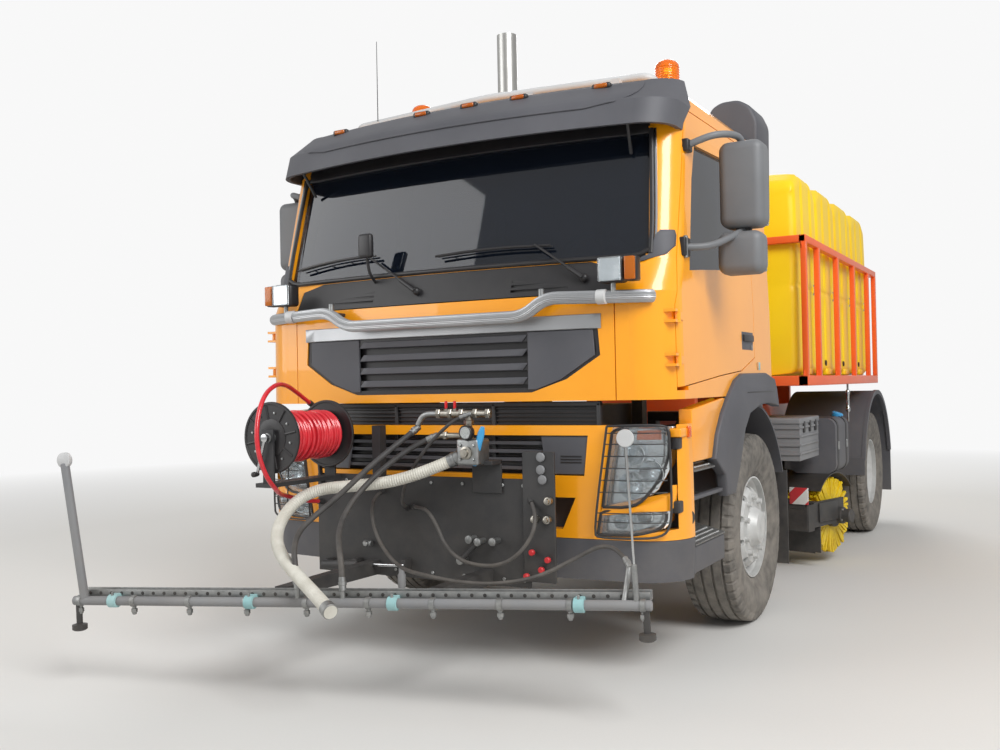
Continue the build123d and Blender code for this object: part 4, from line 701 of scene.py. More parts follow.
@dataclass
class Hose:
    """A free hose on a smooth line through its control points.

    Attributes:
        name: The CAD node, whose place it takes.
        radius: Outer radius.
        finish: Its finish.
        route: Control points from the front axle.
        look: How its wall is made.
        stiffness: limp, medium or stiff; not used.
        far_end: What it ends in.
        rib: Depth of a ribbed wall's grooves.
        ribbed_step: Distance between two rings of a ribbed hose.
        plain_step: The same of another hose.
    """

    name: str
    radius: float
    finish: Finish
    route: tuple
    look: HoseLook = HoseLook.SMOOTH
    stiffness: str = "medium"
    far_end: str = "object"
    rib: float = 0.0032
    ribbed_step: float = 0.003
    plain_step: float = 0.007

    def line(self) -> bpy.types.Curve:
        """The route as a NURBS spline with its points as control points."""
        curve = bpy.data.curves.new(self.name + ".line", "CURVE")
        curve.dimensions = "3D"
        spline = curve.splines.new("NURBS")
        spline.points.add(len(self.route) - 1)
        points = np.array(self.route) + (0.0, AXLE_Y, 0.0)
        spline.points.foreach_set("co", np.hstack([points, np.ones((len(points), 1))]).ravel())
        spline.order_u = 3
        spline.use_endpoint_u = True
        spline.resolution_u = 24
        return curve

    def path(self) -> np.ndarray:
        """Points read from the spline, an even step apart."""
        holder = bpy.data.objects.new(self.name + ".reader", self.line())
        bpy.context.scene.collection.objects.link(holder)
        mesh = bpy.data.meshes.new_from_object(holder)
        points = np.empty(len(mesh.vertices) * 3)
        mesh.vertices.foreach_get("co", points)
        bpy.data.objects.remove(holder)
        bpy.data.meshes.remove(mesh)
        points = points.reshape(-1, 3)
        far = np.concatenate([[0], np.cumsum(np.linalg.norm(np.diff(points, axis=0), axis=1))])
        step = self.ribbed_step if self.look is HoseLook.RIBBED else self.plain_step
        even = np.linspace(0, far[-1], int(far[-1] / step) + 1)
        return np.stack([np.interp(even, far, points[:, i]) for i in range(3)], -1)

    def build(self) -> None:
        path = self.path()
        radius = np.full(len(path), self.radius)
        if self.look is HoseLook.RIBBED:
            radius = self.radius - self.rib * (np.arange(len(path)) % 4 == 3)
        sides = 28 if self.look is HoseLook.RIBBED else 16
        stripe = (slice(5, 8), HOSE_GREEN) if self.look is HoseLook.STRIPED else None
        piece = Piece(self.name + "_skin", slot="hose_black")
        piece.grid(tube_grid(path - (0.0, AXLE_Y, 0.0), radius, sides), self.finish, stripe=stripe)
        made = piece.place(self.name, sharp=50)
        if self.far_end == "fitting":
            tip = path[-1] - (0.0, AXLE_Y, 0.0)
            ahead = tuple(path[-1] - path[-4])
            collar = Piece(self.name + "_collar", slot="steel")
            r = self.radius
            collar.lathe([(-0.045, r + 0.0005), (-0.043, r + 0.004), (-0.004, r + 0.004),
                          (-0.002, r + 0.001), (-0.001, r - 0.006), (-0.02, r - 0.008), (-0.022, 0.004)],
                         tuple(tip), ahead, ZINC, 40)
            collar.place()


HOSES = (
    Hose("hose_white", 0.029, HOSE_WHITE, (
        (0.238, -1.697, 1.033), (0.115, -1.742, 0.976), (-0.068, -1.814, 0.918), (-0.262, -1.855, 0.9),
        (-0.445, -1.889, 0.882), (-0.528, -1.971, 0.825), (-0.526, -2.097, 0.72), (-0.407, -2.227, 0.635),
        (-0.172, -2.372, 0.57), (0.032, -2.475, 0.508), (0.15, -2.54, 0.472)),
        look=HoseLook.RIBBED, stiffness="limp", far_end="fitting"),
    Hose("hose_red", 0.011, HOSE_RED, (
        (-0.7, -1.64, 1.3), (-0.69, -1.74, 1.35), (-0.64, -1.88, 1.392), (-0.575, -2.03, 1.398),
        (-0.535, -2.16, 1.345), (-0.512, -2.235, 1.23), (-0.498, -2.25, 1.095), (-0.49, -2.205, 0.97),
        (-0.515, -2.1, 0.888), (-0.6, -1.98, 0.86), (-0.64, -1.86, 0.833), (-0.662, -1.74, 0.8),
        (-0.664, -1.626, 0.786))),
    Hose("hose_green", 0.008, HOSE_RUBBER, (
        (0.318, -1.718, 1.238), (0.255, -1.735, 1.216), (0.185, -1.752, 1.16), (0.115, -1.755, 1.095),
        (0.03, -1.745, 1.005), (-0.045, -1.715, 0.915), (-0.09, -1.685, 0.84), (-0.112, -1.655, 0.795),
        (-0.12, -1.62, 0.78)),
        look=HoseLook.STRIPED),
    Hose("hose_black_1", 0.009, HOSE_RUBBER, (
        (-0.06, -1.62, 0.78), (-0.02, -1.655, 0.783), (0.06, -1.695, 0.78), (0.13, -1.725, 0.72),
        (0.185, -1.745, 0.63), (0.27, -1.755, 0.565), (0.38, -1.76, 0.545), (0.5, -1.76, 0.556),
        (0.59, -1.74, 0.615), (0.64, -1.705, 0.705), (0.624, -1.655, 0.785), (0.585, -1.618, 0.825))),
    Hose("hose_black_2", 0.009, HOSE_RUBBER, (
        (-0.267, -1.622, 0.842), (-0.262, -1.678, 0.83), (-0.238, -1.74, 0.765), (-0.185, -1.78, 0.66),
        (-0.08, -1.825, 0.57), (0.06, -1.905, 0.53), (0.24, -2.0, 0.534), (0.44, -2.06, 0.53),
        (0.64, -2.07, 0.536), (0.81, -2.005, 0.566), (0.94, -1.91, 0.64), (1.05, -1.888, 0.702),
        (1.15, -1.925, 0.688), (1.208, -1.98, 0.64))),
    Hose("hose_black_3", 0.013, HOSE_RUBBER, (
        (0.115, -1.69, 1.133), (0.03, -1.735, 1.096), (-0.05, -1.815, 1.022), (-0.105, -1.905, 0.945),
        (-0.14, -2.0, 0.86), (-0.13, -2.095, 0.785), (-0.09, -2.18, 0.73), (-0.03, -2.255, 0.685),
        (0.014, -2.296, 0.612), (0.027, -2.306, 0.515))),
    Hose("hose_black_4", 0.013, HOSE_RUBBER, (
        (0.01, -1.692, 1.171), (-0.008, -1.785, 1.122), (-0.075, -1.895, 1.035), (-0.14, -1.985, 0.945),
        (-0.2, -2.06, 0.862), (-0.255, -2.135, 0.795), (-0.274, -2.22, 0.742), (-0.242, -2.305, 0.684),
        (-0.2, -2.347, 0.605), (-0.182, -2.353, 0.515))),
)


@dataclass
class Tyre:
    """A truck tyre: its section swept round the wheel, with grooves cut by the angle and the place across.

    Attributes:
        radius: Outer radius.
        width: Width of the section.
        bead: Radius of the bead.
        groove: Depth of the tread's grooves.
        groove_x: Middles of the straight grooves.
        groove_half: Half of a straight groove's width at its top and at its floor.
        pitches: Blocks round the tread.
        step_count: Grid steps in one pitch.
    """

    radius: float = 0.535
    width: float = 0.312
    bead: float = 0.287
    groove: float = 0.012
    groove_x: tuple = (0.088, 0.030)
    groove_half: tuple = (0.0075, 0.0055)
    pitches: int = 54
    step_count: int = 8

    def section(self) -> np.ndarray:
        """The closed section as place across and radius: side, grooved tread, side, inner wall."""
        half = self.width / 2
        wall = np.array([(0.108, self.bead), (0.122, self.bead + 0.004), (0.130, 0.312), (0.133, 0.316),
                         (0.133, 0.322), (0.148, 0.362), (half, 0.408), (half - 0.001, 0.446), (0.149, 0.478),
                         (0.147, 0.481), (0.1475, 0.488), (0.142, 0.507), (0.135, 0.519)])
        run = [0.128, 0.112]
        top, floor = self.groove_half
        for middle in self.groove_x:
            run += [middle + top, middle + floor, middle - floor, middle - top]
        run = np.array(run + [0.0])
        drop = np.array([0, 0] + [0, self.groove, self.groove, 0] * 2 + [0.0])
        crown = self.radius - 0.55 * run ** 2 - drop
        tread = np.stack([run, crown], -1)
        one = np.vstack([wall, tread])
        other = one[-2::-1] * (-1, 1)
        inside = np.array([(-0.096, 0.300), (-0.118, 0.36), (-0.128, 0.42), (-0.112, 0.48), (0.112, 0.48),
                           (0.128, 0.42), (0.118, 0.36), (0.096, 0.300)])
        return np.vstack([one, other, inside])

    def grid(self, x: float, y: float) -> np.ndarray:
        """The tyre's points: the section turned about X, and cross grooves where the pitch says.

        A point of the shoulder rows drops by the groove's depth where its step within the pitch is one of the
        first two. The steps are shifted with the place across, so that the cross grooves run on a slant.

        Args:
            x: Middle of the tyre.
            y: Its axle, from the front axle.

        Returns:
            The grid, round the wheel by the section.
        """
        across, rise = self.section().T
        count = self.pitches * self.step_count
        turn = np.arange(count)
        wide = np.abs(across)
        shoulder = (rise > 0.481) & (wide > 0.098)
        middle = (wide < 0.078) & (wide > 0.039) & (rise > self.radius - 0.009)
        shift = np.where(across > 0, 0, 4)
        phase = (turn[:, None] + shift[None]) % self.step_count
        cut = np.where(shoulder[None] & (phase < 2), self.groove, 0.0)
        cut = cut + np.where(middle[None] & ((phase + 3) % self.step_count < 1), self.groove * 0.5, 0.0)
        # On the side wall a groove goes inwards more than down
        radius = rise[None] - cut * np.where(wide > 0.136, 0.35, 1.0)
        inward = np.where(wide > 0.136, cut * 0.4, 0.0) * np.sign(across)
        angle = turn[:, None] * TAU / count
        return np.stack([np.broadcast_to(across[None], radius.shape) + x - inward, y + radius * np.cos(angle),
                         AXLE_Z + radius * np.sin(angle)], -1)

    def build(self, node_name: str, body: str, y: float, middles: tuple) -> None:
        """Makes one tyre, or the two of a twin wheel, in place of a CAD node."""
        piece = Piece(node_name + "_tread", body, "tyre")
        for x in middles:
            piece.grid(self.grid(x, y), RUBBER, ring=True)
        piece.place(node_name, sharp=28)


@dataclass
class Wheels:
    """All tyres, and the finish of the rims.

    Attributes:
        front_x: Middle of a front tyre.
        twin_outer: Middle of an outer rear tyre.
        twin_pitch: Distance from it to the inner one.
        wheelbase: Distance between the axles.
    """

    front_x: float = 1.044
    twin_outer: float = 1.072
    twin_pitch: float = 0.35
    wheelbase: float = 3.8

    def build(self) -> None:
        """Makes every wheel's rubber, and paints the rims."""
        tyre = Tyre()
        rear = (self.twin_outer, self.twin_outer - self.twin_pitch)
        for side, sign in (("left", 1), ("right", -1)):
            tyre.build(f"tyre_front_{side}", f"wheel_front_{side}", 0.0, (sign * self.front_x,))
            tyre.build(f"tyres_rear_{side}", f"wheels_rear_{side}", self.wheelbase,
                       tuple(sign * x for x in rear))
        dress(RIM_PAINT, "rim_front_left", "rim_front_right", "rims_rear_left", "rims_rear_right")


@dataclass(frozen=True)
class Skin:
    """The cab's or the bumper's outer surface, by rows of height, front, corner x and y, side x and y."""

    rows: tuple

    def front(self, x: np.ndarray | float, z: np.ndarray | float) -> np.ndarray:
        """How far forward the surface is: a parabola up to the corner, then a quarter ellipse to the side."""
        table = np.array(self.rows)
        mid, cx, cy, sx, sy = (np.interp(z, table[:, 0], table[:, i]) for i in range(1, 6))
        away = np.abs(x)
        bow = mid + (cy - mid) * (away / cx) ** 2
        turn = np.clip((away - cx) / (sx - cx), 0, 1)
        return np.where(away <= cx, bow, sy + (cy - sy) * np.sqrt(1 - turn ** 2))

    def panel(self, z: list, left: list, right: list, proud: float, thick: float, columns: int = 24,
              soft: float = 0.003) -> np.ndarray:
        """A slab that follows the surface, from a left to a right edge given at some heights.

        Its face stands proud of the surface, and its border is drawn back by soft.

        Args:
            z: Heights.
            left: Left edge at each height.
            right: Right edge at each height.
            proud: How far the face stands out.
            thick: Thickness.
            columns: Points across.
            soft: Drop of the border.

        Returns:
            The closed grid.
        """
        lift = np.array([z[0], z[0] + soft] + list(z[1:-1]) + [z[-1] - soft, z[-1]])
        low, high = np.interp(lift, z, left)[:, None], np.interp(lift, z, right)[:, None]
        share = np.concatenate([[0, 0.01], np.linspace(0.04, 0.96, columns - 4), [0.99, 1]])[None]
        x = low + (high - low) * share
        drop = np.zeros(x.shape)
        drop[0], drop[-1], drop[:, 0], drop[:, -1] = soft, soft, soft, soft
        level = np.broadcast_to(lift[:, None], x.shape)
        face = self.front(x, level)
        near = np.stack([x, face - proud + drop, level], -1)
        far = np.stack([x, face - proud + thick, level], -1)
        return np.hstack([near, far[:, ::-1]])

    def band(self, z: list, half: list, proud: float, thick: float, columns: int) -> np.ndarray:
        """A panel that reaches equally far to both sides."""
        return self.panel(z, [-a for a in half], half, proud, thick, columns)

    def sided(self, sign: int, z: list, near: list, far: list, proud: float, thick: float,
              **more) -> np.ndarray:
        """A panel on the side that the sign says, from its near to its far edge from the middle."""
        edges = (near, far) if sign > 0 else ([-a for a in far], [-a for a in near])
        return self.panel(z, *edges, proud, thick, **more)

    def point(self, x: float, z: float, proud: float) -> tuple:
        """The point at a distance in front of the surface."""
        return x, float(self.front(x, z)) - proud, z

    def wire(self, x: list, z: list, proud: float) -> list:
        """Points at a distance in front of the surface."""
        return [self.point(a, b, proud) for a, b in zip(x, z)]


CAB = Skin(((1.29, -1.48, 1.01, -1.44, 1.212, -1.27), (1.787, -1.48, 1.01, -1.44, 1.206, -1.27),
            (1.942, -1.43, 1.04, -1.345, 1.2, -1.215), (2.59, -1.29, 1.04, -1.195, 1.172, -1.065),
            (2.76, -1.2, 1.01, -1.11, 1.15, -0.98), (2.85, -1.06, 0.93, -1.0, 1.06, -0.88)))
BUMPER = Skin(((0.458, -1.478, 1.0, -1.425, 1.212, -1.215), (0.648, -1.49, 1.01, -1.44, 1.222, -1.225),
               (1.175, -1.48, 1.01, -1.438, 1.216, -1.26)))
VISOR = Skin(((2.572, -1.48, 1.01, -1.37, 1.172, -1.17), (2.7, -1.44, 1.01, -1.32, 1.18, -1.13),
              (2.835, -1.23, 0.99, -1.13, 1.15, -1.01)))


@dataclass
class CabTrim:
    """What is fixed to the cab's front and sides: strip, grille mouldings, wipers, marker lamps, handles.

    Attributes:
        strip: Heights of the strip's lower and upper edge.
        strip_half: Half of its width.
        grille_side: Where the plain panels beside the grille start.
        markers: Places of the visor's marker lamps across the truck.
        antenna: Place of the aerial.
    """

    strip: tuple = (1.624, 1.692)
    strip_half: float = 0.872
    grille_side: float = 0.5
    markers: tuple = (-0.8, -0.21, 0.085, 0.37, 0.8)
    antenna: tuple = (-0.765, -0.9)

    def grille(self) -> None:
        """The bare strip on the grille's top, a plain panel at each side, and slanted ribs between them."""
        piece = Piece("grille_mouldings", slot="dark_plastic")
        piece.grid(CAB.panel(list(self.strip), [-self.strip_half] * 2, [self.strip_half + 0.005] * 2, 0.007,
                             0.012, 60), TUBE_ALLOY)
        z = [1.345, 1.392, 1.45, 1.50, 1.60, 1.622]
        outer = list(np.interp(z, (1.332, 1.392, 1.5, 1.632), (0.5, 0.672, 0.842, 0.834)))
        for sign in (1, -1):
            piece.grid(CAB.sided(sign, z, [self.grille_side] * 6, outer, -0.001, 0.012), GREY_PLASTIC)
        piece.grid(CAB.band([1.336, 1.392, 1.5, 1.628], [0.52, 0.7, 0.866, 0.858], -0.034, 0.004, 40),
                   BLACK_PLASTIC)
        for low in (1.372, 1.44, 1.508, 1.576):
            piece.grid(CAB.panel([low, low + 0.034], [-0.5, -0.47], [0.47, 0.5], 0.0, 0.012, 40),
                       GREY_PLASTIC)
        piece.place()

    def corners(self) -> None:
        """Header strip, whose black is partly painted shade under the visor, and cowl strip on the
        windscreen, a moulding at each lower corner, the mask's louvres.
        """
        piece = Piece("screen_mouldings", slot="dark_plastic")
        # The header strip's black is partly the tinted glass and partly painted shade that the visor casts on
        # it
        piece.grid(CAB.band([2.556, 2.6, 2.66, 2.72], [1.04] * 4, 0.004, 0.024, 60), BLACK_PLASTIC)
        piece.grid(CAB.band([1.944, 1.955, 1.966], [1.07] * 3, 0.003, 0.02, 60), BLACK_PLASTIC)
        for sign in (1, -1):
            piece.grid(CAB.sided(sign, [1.93, 1.96, 2.0, 2.05, 2.075], [1.0, 1.075, 1.09, 1.1, 1.12],
                                 [1.05, 1.15, 1.178, 1.178, 1.172], 0.01, 0.02), GREY_PLASTIC)
            piece.grid(BUMPER.sided(sign, [0.945, 1.0, 1.06, 1.125], [0.59, 0.58, 0.568, 0.56],
                                    [0.786, 0.79, 0.796, 0.8], -0.006, 0.012), GREY_PLASTIC)
            for z in (0.998, 1.012, 1.026):
                piece.grid(BUMPER.sided(sign, [z, z + 0.007], [0.66] * 2, [0.766] * 2, -0.004, 0.01,
                                        soft=0.001), BLACK_PLASTIC)
        piece.place()

    def radiator(self) -> None:
        """The radiator in the gap under the lid: a framed core with slats across it."""
        piece = Piece("radiator_core", slot="black_gloss")
        piece.box((-0.86, -1.424, 0.98), (0.86, -1.41, 1.287), BLACK_PLASTIC)
        for z in (0.98, 1.265):
            piece.box((-0.86, -1.442, z), (0.86, -1.42, z + 0.022), BLACK_STEEL)
        for x in (-0.86, -0.3, 0.28, 0.84):
            piece.box((x, -1.442, 0.99), (x + 0.02, -1.42, 1.28), BLACK_STEEL)
        for i in range(14):
            piece.box((-0.85, -1.434, 1.005 + 0.019 * i), (0.85, -1.421, 1.011 + 0.019 * i), BLACK_PLASTIC,
                      0.002)
        piece.place()

    def wiper(self, name: str, pivot: tuple, elbow: tuple, tips: tuple) -> None:
        """An arm on a pivot cap, with a hinged link to a blade that lies on the glass."""
        piece = Piece(name, slot="black_gloss")
        base = CAB.point(*pivot, 0.0)
        end = CAB.point(*elbow, 0.034)
        piece.lathe([(0, 0.02), (0.02, 0.02), (0.03, 0.014), (0.034, 0.006)], base, (0.0, -1.0, 0.25),
                    BLACK_PLASTIC)
        near = (base[0], base[1] - 0.03, base[2] + 0.006)
        knee = tuple(a + (b - a) * 0.3 for a, b in zip(near, end))
        piece.rod(near, knee, 0.012, BLACK_PLASTIC)
        piece.rod(knee, end, 0.006, BLACK_PLASTIC)
        run = np.linspace(0, 1, 9)
        x = tips[0][0] + (tips[1][0] - tips[0][0]) * run
        z = tips[0][1] + (tips[1][1] - tips[0][1]) * run + 0.01 * np.sin(run * math.pi)
        piece.tube(CAB.wire(list(x), list(z), 0.026), 0.0065, BLACK_PLASTIC, 8, 1)
        piece.tube(CAB.wire(list(x), list(z), -0.004), 0.004, BLACK_PLASTIC, 6, 1)
        for i in (1, 3, 5, 7):
            piece.rod(CAB.point(x[i], z[i], 0.026), CAB.point(x[i], z[i], -0.004), 0.004, BLACK_PLASTIC, 8)
        piece.place()

    def screen_edge(self) -> None:
        """Rubber round the windscreen, with a bright line down each side."""
        piece = Piece("windscreen_seal", slot="black_gloss")
        piece.tube(CAB.wire([-1.078] + list(np.linspace(-1.02, 1.02, 20)) + [1.078],
                            [1.985] + [1.957] * 20 + [1.985], 0.004), 0.012, BLACK_PLASTIC, 10, 1)
        for sign in (1, -1):
            x = [sign * a for a in (1.085, 1.083, 1.074, 1.062, 1.05)]
            z = [1.965, 2.1, 2.25, 2.42, 2.575]
            piece.tube(CAB.wire(x, z, 0.004), 0.012, BLACK_PLASTIC, 10, 1)
            piece.tube(CAB.wire([a + sign * 0.018 for a in x], z, 0.002), 0.007, BRIGHT, 10, 1)
        piece.place()

    def visor(self) -> None:
        """The visor's upper tier as a raised panel, with its marker lamps and brackets."""
        piece = Piece("visor_tier", slot="dark_plastic")
        z = [2.668, 2.69, 2.72, 2.75, 2.78, 2.81, 2.826]
        half = [0.78, 0.92, 0.985, 1.01, 1.015, 1.01, 1.0]
        piece.grid(VISOR.band(z, half, 0.008, 0.012, 60), GREY_PLASTIC)
        for x in self.markers:
            y = float(VISOR.front(x, 2.812)) - 0.006
            piece.box((x - 0.05, y - 0.016, 2.8), (x + 0.05, y + 0.02, 2.832), BLACK_PLASTIC, 0.012)
            piece.box((x - 0.036, y - 0.022, 2.805), (x + 0.036, y + 0.01, 2.828), AMBER, 0.009)
        for sign in (1, -1):
            piece.rod(CAB.point(sign * 0.96, 2.46, 0.0), VISOR.point(sign * 0.98, 2.6, -0.03), 0.008,
                      BLACK_PLASTIC)
        piece.place()

    def near_mirror(self) -> None:
        """A small oval mirror on a stalk that stands on the cowl."""
        piece = Piece("front_view_mirror", slot="dark_plastic")
        foot = CAB.point(-0.42, 1.925, 0.0)
        head = (-0.415, foot[1] - 0.085, 2.09)
        piece.tube([foot, (foot[0], foot[1] - 0.05, 1.965), (head[0], head[1] + 0.01, 2.03), head], 0.008,
                   BLACK_PLASTIC)
        x, y, _ = head
        piece.box((x - 0.042, y - 0.02, 2.045), (x + 0.042, y + 0.018, 2.17), BLACK_PLASTIC, 0.016)
        piece.box((x - 0.034, y + 0.014, 2.055), (x + 0.034, y + 0.021, 2.16), BRIGHT, 0.003)
        piece.place()

    def sides(self) -> None:
        """On each door a handle in a shallow cup; on each side a marker lamp, a step edge and a plug."""
        for side, sign in (("left", 1), ("right", -1)):
            piece = Piece(f"door_handle_{side}", f"door_{side}", "dark_plastic")
            piece.box((sign * 1.2, -0.31, 1.525), (sign * 1.209, -0.085, 1.638), GREY_PLASTIC)
            piece.box((sign * 1.206, -0.29, 1.585), (sign * 1.22, -0.10, 1.622), BLACK_PLASTIC, 0.005)
            piece.lathe([(0, 0.016), (0.012, 0.016), (0.014, 0.012), (0.015, 0.002)],
                        (sign * 1.2, -0.12, 1.553), (float(sign), 0.0, 0.0), ZINC, 24)
            piece.place()
        piece = Piece("side_markers", slot="amber")
        piece.box((1.165, -1.365, 1.118), (1.219, -1.232, 1.158), CAB_PAINT, 0.006)
        piece.box((1.19, -1.272, 1.113), (1.226, -1.232, 1.163), AMBER)
        piece.box((1.205, -0.02, 1.428), (1.214, 0.012, 1.472), LENS, 0.003)
        piece.box((1.205, 0.014, 1.428), (1.214, 0.045, 1.472), TEAL_PLASTIC, 0.003)
        piece.lathe([(0, 0.034), (0.004, 0.034), (0.005, 0.028), (0.003, 0.004)], (1.212, -1.245, 0.74),
                    (1.0, -0.35, 0.0), BLACK_PLASTIC, 24)
        piece.mirror().place()

    def roof(self) -> None:
        """A whip aerial on a rubber foot behind the roof tube."""
        piece = Piece("aerial", slot="black_gloss")
        x, y = self.antenna
        piece.lathe([(0, 0.026), (0.01, 0.024), (0.035, 0.012), (0.05, 0.006), (0.06, 0.003), (0.57, 0.0018)],
                    (x, y, 2.846), Axis.Z, BLACK_PLASTIC, 20)
        piece.place()

    def build(self) -> None:
        """Makes the trim, and gives the cab's CAD nodes their finishes."""
        self.grille()
        self.wiper("wiper_right", (-0.129, 1.853), (-0.46, 2.062), ((-1.0, 2.035), (-0.44, 2.07)))
        self.wiper("wiper_left", (0.79, 1.86), (0.525, 2.045), ((-0.03, 2.03), (0.6, 2.035)))
        self.corners()
        self.radiator()
        self.screen_edge()
        self.visor()
        self.near_mirror()
        self.sides()
        self.roof()
        dress(CAB_PAINT, "cab_shell", "door_left", "door_right", "front_lid", "bumper_mask")
        dress(BLACK_PLASTIC, "grille", "cowl_panel")
        dress(GREY_PLASTIC, "sun_visor", "front_bumper")
        dress(WINDOW, "windscreen", "door_glass_left", "door_glass_right")
        dress(SEAT_CLOTH, "cab_interior")
        dress(WHITE_PAINT, "roof_rail")


@dataclass
class Mirrors:
    """A tall and a wide mirror on arms at each door.

    Attributes:
        main: Two corners of the tall housing.
        wide: Two corners of the wide housing.
    """

    main: tuple = ((1.29, -0.96, 2.108), (1.508, -0.8, 2.525))
    wide: tuple = ((1.28, -0.97, 1.883), (1.5, -0.82, 2.088))

    def build(self) -> None:
        """Makes each side's housings, glass and arms in place of the CAD node."""
        for side, sign in (("left", 1), ("right", -1)):
            piece = Piece(f"mirror_set_{side}", f"door_{side}", "dark_plastic")
            for low, high in (self.main, self.wide):
                piece.grid(soft_box(low, high, 0.045, 5), MIRROR_PLASTIC)
                piece.box((low[0] + 0.014, high[1] - 0.01, low[2] + 0.014),
                          (high[0] - 0.014, high[1] + 0.004, high[2] - 0.014), BRIGHT, 0.005)
            piece.tube([(1.172, -1.075, 2.5), (1.31, -1.05, 2.548), (1.395, -0.9, 2.56),
                        (1.395, -0.88, 2.48)], 0.017, MIRROR_PLASTIC, 16)
            piece.tube([(1.19, -1.19, 2.0), (1.31, -1.12, 2.0), (1.395, -0.885, 2.1)], 0.017,
                       MIRROR_PLASTIC, 16)
            piece.box((1.36, -0.9, 2.08), (1.43, -0.86, 2.115), BLACK_STEEL)
            piece.box((1.176, -1.23, 1.955), (1.214, -1.15, 2.045), BLACK_PLASTIC, 0.008)
            piece.box((1.162, -1.115, 2.47), (1.2, -1.045, 2.53), BLACK_PLASTIC, 0.008)
            piece.rod((1.205, -1.2, 1.948), (1.205, -1.2, 2.052), 0.012, ZINC)
            if sign < 0:
                for points in piece.points:
                    points[:, 0] *= -1
            piece.place(f"mirrors_{side}")


